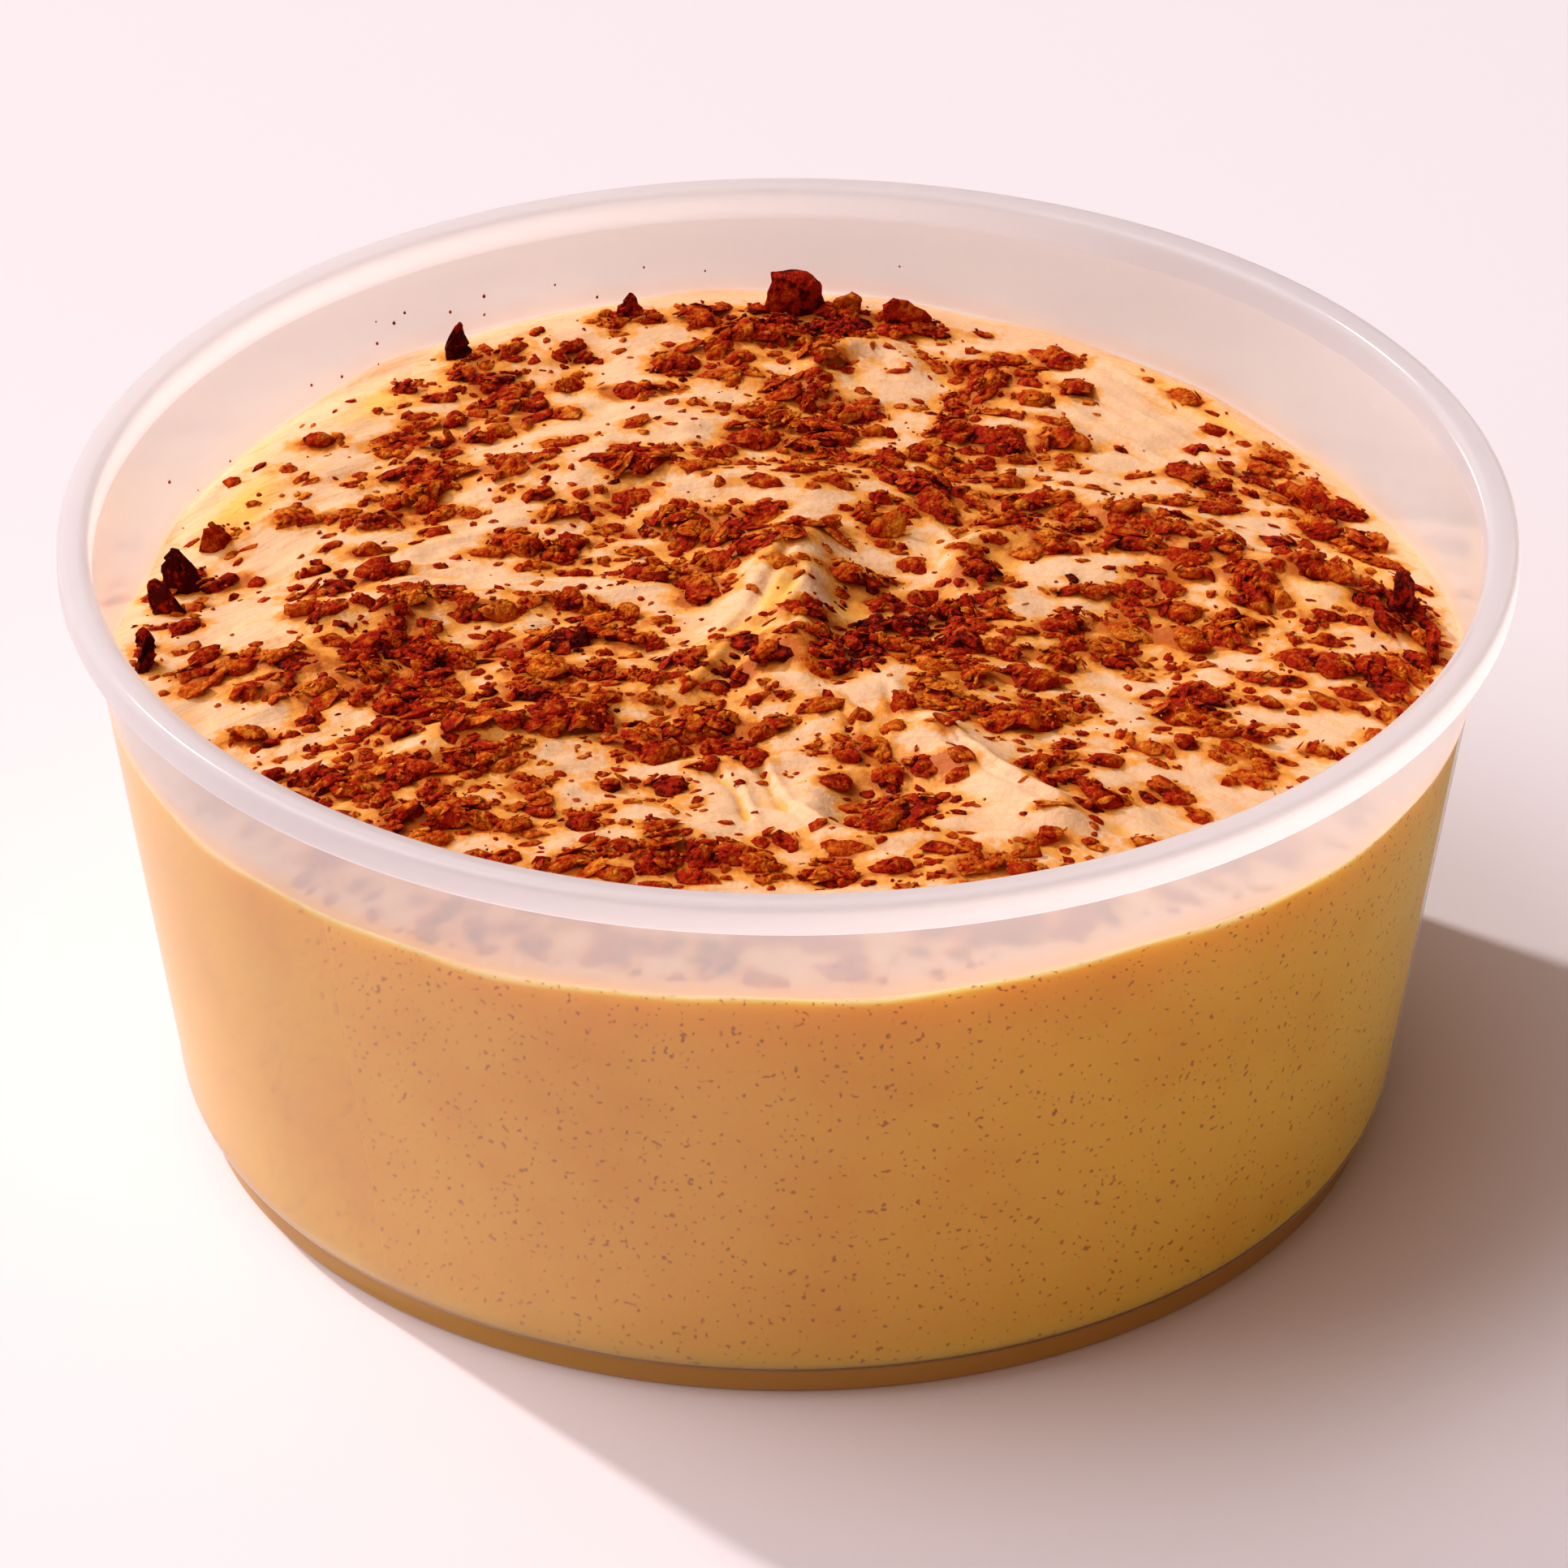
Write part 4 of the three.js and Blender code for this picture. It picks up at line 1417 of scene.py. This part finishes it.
@dataclass
class Topping:
    """All the grated chocolate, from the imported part's chips down to crumbs."""

    relief: Relief
    ground: Ground
    evening: float = 0.7
    sunk_span: Point = (-0.5, 1.4)

    def build(self, finish: bpy.types.Material) -> None:
        """Strews the chips from the largest kind down, so that each lies on those before it.

        Args:
            finish: the grated chocolate.
        """
        pieces = CoarseChips(self.relief).build(self.ground)
        for kind in (MEDIUM, SMALL, CRUMBS):
            pieces.append(FineChips(self.relief, kind).build(self.ground))
        pieces.append(WallCrumbs(self.relief).build())
        # The sunk share feeds the chocolate's painted shade and painted highlight: darker below the
        # blurred heap, lighter above it.
        level = blurred(self.ground.height, *[self.evening / self.ground.cell] * 2)
        for piece in pieces:
            x, y, z = read_points(piece).T
            sunk = level[self.ground.cells(x, y)] - z
            inside = np.hypot(x, y) < self.relief.wall_radius()
            write_shares(piece, "sunk", np.where(inside, np.clip(sunk, *self.sunk_span), 0))
            hand_over(piece, finish)
        near = np.hypot(self.ground.x, self.ground.y) < self.relief.shape.wall_low_radius
        share = self.ground.covered[near].mean()
        log.info("chocolate covers %.0f percent of the top", 100 * share)


# The cream.


@dataclass
class Cream:
    """The cream: its side, which reaches into the wall that it wets, and its swirled top."""

    shape: TubShape
    relief: Relief
    bite: float = 0.55
    turn_steps: int = 640
    top_rings: int = 118
    side_rings: int = 12
    corner_steps: int = 8
    stain_reach: Point = (0.45, 1.0)
    dip_reach: float = 2.2
    fold_length: float = 4.2
    fold_width: float = 0.8
    edge_blend: float = 1.2
    # Height, number round the tub and start of the waves along the cream's edge.
    edge_waves: tuple[tuple[float, float, float], ...] = ((0.22, 11, 1.3), (0.15, 23, 0.4))
    tolerance: float = 1e-3
    sharpest_smooth: float = 60.0

    def __post_init__(self) -> None:
        """Works out where the side starts above the rounded corner and where the top lies."""
        self.start = self.shape.floor_top + self.shape.inner_corner
        self.level = self.relief.fill_height

    def skin_radius(self, height: Any) -> Any:
        """Radius of the cream's side, a little inside the wall, at a height."""
        return self.shape.inner_radius(height) + self.bite

    def profile(self) -> list[Point]:
        """The flat-topped outline that is spun before its top is shaped."""
        s = self.shape
        centre = (s.inner_radius(self.start) - s.inner_corner, self.start)
        corner = arc(centre, s.inner_corner + self.bite, -90, 0, self.corner_steps)
        edge, tall = self.skin_radius(self.level), self.level - self.start
        steps = range(1, self.side_rings + 1)
        side = [(edge, self.start + tall * step / self.side_rings) for step in steps]
        steps = range(1, self.top_rings + 1)
        top = [(edge * (1 - step / self.top_rings), self.level) for step in steps]
        return [(0.0, s.floor_top - self.bite), *corner, *side, *top]

    def build(self, finish: bpy.types.Material, ground: Ground) -> None:
        """Builds the cream as one spun body and shapes its top.

        Args:
            finish: the cream's material.
            ground: where the chips lie, for the stain that they leave.
        """
        piece = swept_profile("cream_body", self.profile(), self.turn_steps)
        start, level, edge_radius = self.start, self.level, self.skin_radius(self.level)
        x, y, z = read_points(piece).T
        radius = np.hypot(x, y)
        edge = self.relief.edge_height(x, y) + self.edge_wave(x, y)
        on_top = z > level - self.tolerance
        on_side = (z > start + self.tolerance) & ~on_top
        side_height = start + (z - start) * (edge - start) / (level - start)
        new_radius = np.where(on_side, self.skin_radius(side_height), radius)
        new_radius = np.where(on_top, radius / edge_radius * self.skin_radius(edge), new_radius)
        safe = np.maximum(radius, self.tolerance)
        x, y = x / safe * new_radius, y / safe * new_radius
        blend = smoothstep((radius - edge_radius + self.edge_blend) / self.edge_blend)
        top = self.relief.top(x, y) * (1 - blend) + edge * blend
        new_height = np.where(on_top, top, np.where(on_side, side_height, z))
        write_points(piece, np.stack([x, y, new_height], axis=1))
        self.mark(piece, ground, on_top, edge - new_height)
        smooth(piece, self.sharpest_smooth)
        hand_over(piece, finish, ["cream"])

    def edge_wave(self, x: Array, y: Array) -> Array:
        """The small waviness of the cream's edge on the wall."""
        turn = np.arctan2(y, x)
        return sum(
            height * np.sin(number * turn + start) for height, number, start in self.edge_waves
        )

    def mark(self, piece: bpy.types.Object, ground: Ground, on_top: Array, below: Array) -> None:
        """Stores what the material needs to know at each vertex.

        Args:
            piece: the shaped cream.
            ground: where the chips lie.
            on_top: which vertices belong to the top.
            below: how far each vertex lies below the edge.
        """
        x, y, _ = read_points(piece).T
        stain = blurred(ground.covered, *(reach / ground.cell for reach in self.stain_reach))
        # The dip and the golden patches carry painted shade: the material turns the top yellower
        # where it lies below its surroundings and in those patches.
        dip = blurred(ground.bare, *[self.dip_reach / ground.cell] * 2) - ground.bare
        place = ground.cells(x, y)
        write_shares(piece, "stain", np.where(on_top, stain[place], 0))
        write_shares(piece, "dip", np.where(on_top, dip[place], 0))
        write_shares(piece, "shaded_golden", np.where(on_top, most_within(SHADED_GOLDEN_PATCHES, x, y), 0))
        write_shares(piece, "below_edge", np.where(on_top, 0, below))
        write_shares(piece, "fold_along", x / self.fold_length)
        write_shares(piece, "fold_across", self.relief.across(x, y) / self.fold_width)


# The finishes.


@dataclass(frozen=True)
class FrostedPlastic:
    """Injection-moulded polypropylene: white and glossy where it is thick, milky where it is dry
    and clear where the cream wets it; a painted veil makes it milkier and glossier to the left."""

    body: str = "#F3F0F0"
    rim: str = "#F2F2FC"
    glow: str = "#F2EEEE"
    creamy: str = "#FFDDB8"
    frost: str = "#FFFAF6"
    foot: str = "#C89034"
    # Heights of the foot's top and of the rim's start, and how softly the looks change there.
    foot_height: float = 2.35
    foot_fade: float = 0.25
    rim_height: float = 49.4
    rim_fade: float = 0.15
    # Heights above the cream's edge between which the dry wall loses the cream's colour, and
    # between which the wetted wall turns milky.
    creamy_span: Point = (0.3, 2.6)
    creamy_most: float = 0.8
    wet_span: Point = (-0.3, 0.45)
    # How much of each look is left at the foot.
    foot_clear: float = 0.15
    foot_glow: float = 0.2
    # How much the painted veil whitens the wall at its middle, and how much sheen is left away from
    # it.
    painted_veil: float = 0.56
    sheen_off_veil: float = 0.4
    clear_through: float = 0.99
    wall_glow: float = 0.38
    rim_glow: float = 0.68
    wall_glass: float = 0.54
    rim_glass: float = 0.3
    glass_roughness: float = 0.17
    roughness: float = 0.16
    ior: float = 1.49
    sheen_roughness: float = 0.5
    sheen_ior: float = 1.8
    ripple_length: float = 9.0
    ripple_strength: float = 0.05
    lets_light: float = 0.92

    def milky(
        self, tree: bpy.types.NodeTree, place: Socket, height: Socket, above: Socket
    ) -> Socket:
        """The dry plastic: a white skin that glows, with some light going through it blurred.

        Args:
            tree: the material's node tree.
            place: the object's own coordinates.
            height: the height above the table, in metres.
            above: the height above the cream's edge, in millimetres.

        Returns:
            The shader.
        """
        start, full = self.rim_height - self.rim_fade, self.rim_height + self.rim_fade
        rim = (height, start * MM, full * MM)
        foot = (height, self.foot_height * MM, (self.foot_height - self.foot_fade) * MM)
        near, far = self.creamy_span
        # The cream's top shows through where it comes near the wall, and the foot's ring carries
        # the cream's colour down to the table.
        colour = tinted(
            tree,
            self.body,
            (above, far, near, self.creamy_most, self.creamy),
            (*rim, 1.0, self.rim),
            (*foot, 1.0, self.foot),
        )
        # A moulded skin is smooth but never flat: a slow ripple breaks the highlights.
        length = self.ripple_length * MM
        waves = add(
            tree, "ShaderNodeTexNoise", {"Vector": place, "Scale": 1 / length, "Detail": 2.0}
        )
        ripple = {"Height": waves, "Strength": self.ripple_strength, "Distance": MM}
        white = {
            "Base Color": colour,
            "Roughness": self.roughness,
            "IOR": self.ior,
            "Normal": add(tree, "ShaderNodeBump", ripple),
        }
        surface = add(tree, "ShaderNodeBsdfPrincipled", white)
        glow = add(tree, "ShaderNodeBsdfTranslucent", {"Color": linear(self.glow)})
        glass = {"Color": linear(self.frost), "Roughness": self.glass_roughness, "IOR": self.ior}
        frosted = add(tree, "ShaderNodeBsdfGlass", glass)
        at_rim = product(tree, (*rim, 0.0, 1.0))
        off_foot = (product(tree, (*foot, 0.0, 1.0)), 0.0, 1.0, 1.0, self.foot_glow)
        skin = surface
        for layer, at_wall, at_top in (
            (glow, self.wall_glow, self.rim_glow),
            (frosted, self.wall_glass, self.rim_glass),
        ):
            share = product(tree, (at_rim, 0.0, 1.0, at_wall, at_top), off_foot)
            skin = add(tree, "ShaderNodeMixShader", {0: share, 1: skin, 2: layer})
        return skin

    def make(self) -> bpy.types.Material:
        """Builds the material.

        Returns:
            The finished material.
        """
        made, tree = fresh_material("frosted_polypropylene")
        place = add(tree, "ShaderNodeTexCoord", out="Object")
        height = add(tree, "ShaderNodeSeparateXYZ", {0: place}, out="Z")
        above, painted_veil = (
            add(tree, "ShaderNodeAttribute", out="Fac", attribute_name=name)
            for name in ("above_cream", "painted_veil")
        )
        foot_low, foot_high = (self.foot_height - self.foot_fade) * MM, self.foot_height * MM
        low, high = self.wet_span
        # Painted veil: the wall is made milkier, so paler, towards the left, where the light falls.
        wet = product(
            tree,
            (above, high, low, 0.0, self.clear_through),
            (height, foot_low, foot_high, self.foot_clear, 1.0),
            (painted_veil, 0.0, 1.0, 1.0, 1 - self.painted_veil),
        )
        # Wetted by the cream, the skin scatters no light of its own and only mirrors a little.
        clear = add(tree, "ShaderNodeBsdfTransparent", {"Color": (1, 1, 1, 1)})
        sheen = add(tree, "ShaderNodeBsdfAnisotropic", {"Roughness": self.sheen_roughness})
        mirror = add(tree, "ShaderNodeFresnel", {"IOR": self.sheen_ior})
        # Painted sheen: the wall mirrors most where the painted veil lies, towards the left.
        veil_sheen = product(tree, (painted_veil, 0.0, 1.0, self.sheen_off_veil, 1.0))
        mirror = add(tree, "ShaderNodeMath", {0: mirror, 1: veil_sheen}, operation="MULTIPLY")
        wetted = add(tree, "ShaderNodeMixShader", {0: mirror, 1: clear, 2: sheen})
        milky = self.milky(tree, place, height, above)
        shader = add(tree, "ShaderNodeMixShader", {0: wet, 1: milky, 2: wetted})
        # Thin plastic lets most of the sun through, so its wall throws hardly any shadow.
        shade = add(tree, "ShaderNodeLightPath", out="Is Shadow Ray")
        passes = add(tree, "ShaderNodeMath", {0: shade, 1: self.lets_light}, operation="MULTIPLY")
        shader = add(tree, "ShaderNodeMixShader", {0: passes, 1: shader, 2: clear})
        add(tree, "ShaderNodeOutputMaterial", {"Surface": shader})
        return made


@dataclass(frozen=True)
class MascarponeCream:
    """Whipped mascarpone and egg cream: soft, matte and a little see-through at its edges."""

    top: str = "#EEBF95"
    fold: str = "#F5B468"
    # Painted shade in the top's dips.
    dip: str = "#EEA84E"
    tinged: str = "#EE9C3E"
    stained: str = "#C4620F"
    # Painted shade in the golden patches.
    shaded_golden: str = "#F8BA58"
    # Painted shade: the side is a darker, deeper copy of the top's colour, for the shade it stands
    # in.
    side: str = "#F3BF3C"
    side_deep: str = "#EEB32C"
    side_edge: str = "#FBDDA4"
    speck: str = "#B4762A"
    roughness: float = 0.55
    mottle_size: float = 0.9
    mottle_share: float = 0.7
    cloud_size: float = 11.0
    grain_size: float = 0.44
    pore_size: float = 0.5
    # How far light spreads in the cream: its reach at the top and at the side, redder further.
    spread: tuple[float, float, float] = (1.0, 0.5, 0.2)
    top_reach: float = 1.2
    side_reach: float = 8.0
    # Over this depth below its edge the side takes over from the top.
    turn_over: float = 0.05

    def top_colour(self, tree: bpy.types.NodeTree, place: Socket, folds: Socket) -> Socket:
        """Colours the top: yellower in its folds, yellower in its dips and golden patches as
        painted shade, orange round the chips.

        Args:
            tree: the material's node tree.
            place: the object's own coordinates.
            folds: fine streaks along the spatula's strokes, 0 to 1.

        Returns:
            The colour.
        """
        dip, stain, shaded_golden = (
            add(tree, "ShaderNodeAttribute", out="Fac", attribute_name=name)
            for name in ("dip", "stain", "shaded_golden")
        )
        scale = 1 / (self.mottle_size * MM)
        mottle = add(tree, "ShaderNodeTexNoise", {"Vector": place, "Scale": scale, "Detail": 3.0})
        centred = {0: mottle, 1: self.mottle_share, 2: -self.mottle_share / 2}
        uneven = add(tree, "ShaderNodeMath", centred, operation="MULTIPLY_ADD")
        stain, shaded_golden = (
            add(tree, "ShaderNodeMath", {0: share, 1: uneven}, operation="ADD")
            for share in (stain, shaded_golden)
        )
        # Painted shade: the dips and the golden patches turn yellower.
        return tinted(
            tree,
            self.top,
            (folds, 0.5, 0.78, 1.0, self.fold),
            (dip, 0.05, 0.45, 1.0, self.dip),
            (shaded_golden, 0.05, 0.9, 1.0, self.shaded_golden),
            (stain, 0.1, 0.36, 1.0, self.tinged),
            (stain, 0.34, 0.66, 1.0, self.stained),
        )

    def shaded_side_colour(self, tree: bpy.types.NodeTree, place: Socket, below: Socket) -> Socket:
        """Colours the side behind the plastic, a deeper copy of the top's colour that is painted
        shade: faint clouds, a pale edge and fine specks.

        Args:
            tree: the material's node tree.
            place: the object's own coordinates.
            below: how far below the edge each point is, in millimetres.

        Returns:
            The colour.
        """
        clouds, grains = (
            add(
                tree,
                "ShaderNodeTexNoise",
                {"Vector": place, "Scale": 1 / (size * MM), "Detail": detail},
            )
            for size, detail in ((self.cloud_size, 4.0), (self.grain_size, 0.0))
        )
        return tinted(
            tree,
            self.side,
            (clouds, 0.4, 0.75, 1.0, self.side_deep),
            (below, 0.9, 0.1, 1.0, self.side_edge),
            (grains, 0.7, 0.79, 1.0, self.speck),
        )

    def make(self) -> bpy.types.Material:
        """Builds the material.

        Returns:
            The finished material.
        """
        made, tree = fresh_material("mascarpone_cream")
        place = add(tree, "ShaderNodeTexCoord", out="Object")
        along, across, below = (
            add(tree, "ShaderNodeAttribute", out="Fac", attribute_name=name)
            for name in ("fold_along", "fold_across", "below_edge")
        )
        strokes = add(tree, "ShaderNodeCombineXYZ", {"X": along, "Y": across})
        streaks = {"Vector": strokes, "Scale": 1.0, "Detail": 3.0, "Roughness": 0.6}
        folds = add(tree, "ShaderNodeTexNoise", streaks)
        scale = 1 / (self.pore_size * MM)
        fine = add(tree, "ShaderNodeTexNoise", {"Vector": place, "Scale": scale, "Detail": 3.0})
        uneven = add(tree, "ShaderNodeMath", {0: folds, 1: 1.6, 2: fine}, operation="MULTIPLY_ADD")
        bumps = {"Height": uneven, "Strength": 0.25, "Distance": MM / 2}
        soft = {
            "Base Color": self.top_colour(tree, place, folds),
            "Roughness": self.roughness,
            "IOR": 1.4,
            "Specular IOR Level": 0.3,
            "Subsurface Weight": 0.3,
            "Subsurface Radius": self.spread,
            "Subsurface Scale": self.top_reach * MM,
            "Normal": add(tree, "ShaderNodeBump", bumps),
        }
        top = add(tree, "ShaderNodeBsdfPrincipled", soft)
        # Pressed against the plastic the cream has no gloss of its own.
        pressed = {
            "Base Color": self.shaded_side_colour(tree, place, below),
            "Roughness": 0.9,
            "Specular IOR Level": 0.0,
            "Subsurface Weight": 1.0,
            "Subsurface Radius": self.spread,
            "Subsurface Scale": self.side_reach * MM,
        }
        side = add(tree, "ShaderNodeBsdfPrincipled", pressed)
        on_side = add(tree, "ShaderNodeMapRange", {"Value": below, "From Max": self.turn_over})
        shader = add(tree, "ShaderNodeMixShader", {0: on_side, 1: top, 2: side})
        add(tree, "ShaderNodeOutputMaterial", {"Surface": shader})
        return made


@dataclass(frozen=True)
class GratedChocolate:
    """Grated dark chocolate: torn, dusty and warm brown, with painted shade that makes it darkest
    in its gaps.
    """

    light: str = "#DC8024"
    middle: str = "#BE520A"
    dark: str = "#A01C03"
    deepest: str = "#440604"
    mottle_size: float = 1.3
    grain_size: float = 0.45
    roughness: float = 0.75
    # How much the sunk depth (painted shade and painted highlight), the mottle and the grain each
    # darken the colour.
    weights: tuple[float, float, float] = (0.7, 2.6, 2.0)

    def make(self) -> bpy.types.Material:
        """Builds the material.

        Returns:
            The finished material.
        """
        made, tree = fresh_material("grated_dark_chocolate")
        place = add(tree, "ShaderNodeTexCoord", out="Object")
        depth, sunk = (
            add(tree, "ShaderNodeAttribute", out="Fac", attribute_name=name)
            for name in ("tone", "sunk")
        )
        mottle, grain = (
            add(
                tree,
                "ShaderNodeTexNoise",
                {"Vector": place, "Scale": 1 / (size * MM), "Detail": 2.0},
            )
            for size in (self.mottle_size, self.grain_size)
        )
        # Painted shade and painted highlight: chips are darker deep in a heap and lighter where
        # they stand above it; they are also unevenly dark from patch to patch and grain to grain.
        for layer, weight in zip((sunk, mottle, grain), self.weights):
            darker = {0: layer, 1: weight, 2: depth}
            depth = add(tree, "ShaderNodeMath", darker, operation="MULTIPLY_ADD")
        colour = tinted(
            tree,
            self.light,
            (depth, 1.75, 2.25, 1.0, self.middle),
            (depth, 2.25, 2.85, 1.0, self.dark),
            (depth, 2.95, 3.6, 1.0, self.deepest),
        )
        torn = add(tree, "ShaderNodeMath", {0: mottle, 1: 0.6, 2: grain}, operation="MULTIPLY_ADD")
        bumps = {"Height": torn, "Strength": 0.8, "Distance": MM / 2}
        dusty = {
            "Base Color": colour,
            "Roughness": self.roughness,
            "IOR": 1.45,
            "Specular IOR Level": 0.05,
            "Normal": add(tree, "ShaderNodeBump", bumps),
        }
        surface = add(tree, "ShaderNodeBsdfPrincipled", dusty)
        add(tree, "ShaderNodeOutputMaterial", {"Surface": surface})
        return made


# The studio.


class LampKind(Enum):
    """The kinds of light in the studio."""

    SUN = "SUN"
    DISK = "AREA"


@dataclass(frozen=True)
class Lamp:
    """One light: the way to it in degrees, and its size in degrees for a sun, or in millimetres."""

    name: str
    kind: LampKind
    colour: str
    heading: float
    height: float
    strength: float
    size: float


@dataclass
class Studio:
    """The plain pale floor, the soft light and the camera at the photograph's angle."""

    floor_size: float = 6000.0
    floor_colour: str = "#F0E8F0"
    floor_roughness: float = 0.9
    sky_colour: str = "#F8F4FA"
    room_colour: str = "#F2CEB0"
    sky_low: float = 0.06
    sky_high: float = 0.78
    sky_heading: float = 174.0
    sky_height: float = 29.0
    sky_from: float = -0.18
    # The sun through a window, the window itself and a warm light from the room.
    lamps: tuple[Lamp, ...] = (
        Lamp("key", LampKind.SUN, "#FFFAF6", 139.0, 41.0, 2.05, 2.0),
        Lamp("fill", LampKind.DISK, "#FFFCFA", 185.0, 55.0, 6.0, 900.0),
        Lamp("glow", LampKind.DISK, "#FFBE80", 292.0, 32.0, 1.25, 800.0),
    )
    lamp_distance: float = 1200.0
    camera_distance: float = 944.0
    camera_height: float = 29.98
    camera_lens: float = 268.5
    camera_sensor: float = 36.0
    camera_sees: Point = (50.0, 20000.0)
    camera_yaw: float = -0.0188
    camera_pitch: float = -1.2833
    camera_roll: float = 0.0775
    aim_height: float = 52.0

    def floor(self) -> None:
        """Lays a plain pale floor under the tub."""
        deselect()
        bpy.ops.mesh.primitive_plane_add(size=self.floor_size * MM)
        piece = bpy.context.object
        piece.name = "floor"
        made, tree = fresh_material("floor_paint")
        matte = {"Base Color": linear(self.floor_colour), "Roughness": self.floor_roughness}
        paint = add(tree, "ShaderNodeBsdfPrincipled", matte)
        add(tree, "ShaderNodeOutputMaterial", {"Surface": paint})
        piece.data.materials.append(made)

    def towards(self, heading: float, height: float) -> Vector:
        """The direction to a light, by its heading and its height in degrees."""
        turn, rise = math.radians(heading), math.radians(height)
        out = math.cos(rise)
        return Vector((math.cos(turn) * out, math.sin(turn) * out, math.sin(rise)))

    def lamp(self, lamp: Lamp) -> None:
        """Adds one light that shines at the tub.

        Args:
            lamp: the light.
        """
        data = bpy.data.lights.new(lamp.name, lamp.kind.value)
        data.energy, data.color = lamp.strength, linear(lamp.colour)[:3]
        if lamp.kind is LampKind.SUN:
            data.angle = math.radians(lamp.size)
        else:
            data.shape, data.size = "DISK", lamp.size * MM
        direction = self.towards(lamp.heading, lamp.height)
        made = placed(lamp.name, data)
        made.rotation_mode = "QUATERNION"
        made.rotation_quaternion = direction.to_track_quat("Z", "Y")
        made.location = direction * self.lamp_distance * MM

    def sky(self) -> None:
        """Surrounds the tub: the window's side is bright and cool, the room's dim and warm."""
        world = bpy.data.worlds.new("studio")
        world.use_nodes = True
        world.node_tree.nodes.clear()
        tree = world.node_tree
        outward = add(tree, "ShaderNodeTexCoord", out="Generated")
        both = {0: outward, 1: self.towards(self.sky_heading, self.sky_height)}
        facing = add(tree, "ShaderNodeVectorMath", both, 1, operation="DOT_PRODUCT")
        share = product(tree, (facing, self.sky_from, 1.0, 0.0, 1.0))
        ends = {"Value": share, "To Min": self.sky_low, "To Max": self.sky_high}
        strength = add(tree, "ShaderNodeMapRange", ends)
        colours = {0: share, 6: linear(self.room_colour), 7: linear(self.sky_colour)}
        colour = add(tree, "ShaderNodeMix", colours, 2, data_type="RGBA")
        sky = add(tree, "ShaderNodeBackground", {"Color": colour, "Strength": strength})
        add(tree, "ShaderNodeOutputWorld", {"Surface": sky})
        bpy.context.scene.world = world

    def swing(self, first: Vector, second: Vector, degrees: float) -> tuple[Vector, Vector]:
        """Turns two directions that stand square to each other, the first towards the second."""
        cos, sin = math.cos(math.radians(degrees)), math.sin(math.radians(degrees))
        return cos * first + sin * second, cos * second - sin * first

    def camera(self) -> None:
        """Sets the camera as the photograph's was, worked out from the rim, wall and foot."""
        rise = math.radians(self.camera_height)
        away = Vector((0, -math.cos(rise), math.sin(rise))) * self.camera_distance
        ahead = -away.normalized()
        right = Vector((1, 0, 0))
        up = right.cross(ahead)
        ahead, right = self.swing(ahead, right, self.camera_yaw)
        ahead, up = self.swing(ahead, up, self.camera_pitch)
        right, up = self.swing(right, up, self.camera_roll)
        data = bpy.data.cameras.new("camera")
        data.lens, data.sensor_width = self.camera_lens, self.camera_sensor
        data.clip_start, data.clip_end = (end * MM for end in self.camera_sees)
        made = placed("camera", data)
        place = (away + Vector((0, 0, self.aim_height))) * MM
        turn = Matrix((right, up, -ahead)).transposed().to_4x4()
        made.matrix_world = Matrix.Translation(place) @ turn
        bpy.context.scene.camera = made

    def build(self) -> None:
        """Builds the floor, the lights and the camera."""
        self.camera()
        self.floor()
        for lamp in self.lamps:
            self.lamp(lamp)
        self.sky()
        bpy.context.scene.view_settings.view_transform = "Standard"
        log.info("floor, light and camera set")


def main() -> None:
    """Builds the pudding piece by piece."""
    logging.basicConfig(level=logging.INFO, format="%(name)s: %(message)s")
    Studio().build()
    shape = TubShape()
    relief = Relief(shape)
    ground = Ground(relief)
    Topping(relief, ground).build(GratedChocolate().make())
    Cream(shape, relief).build(MascarponeCream().make(), ground)
    Tub(shape, relief.edge_height).build(FrostedPlastic().make())


if __name__ == "__main__":
    main()
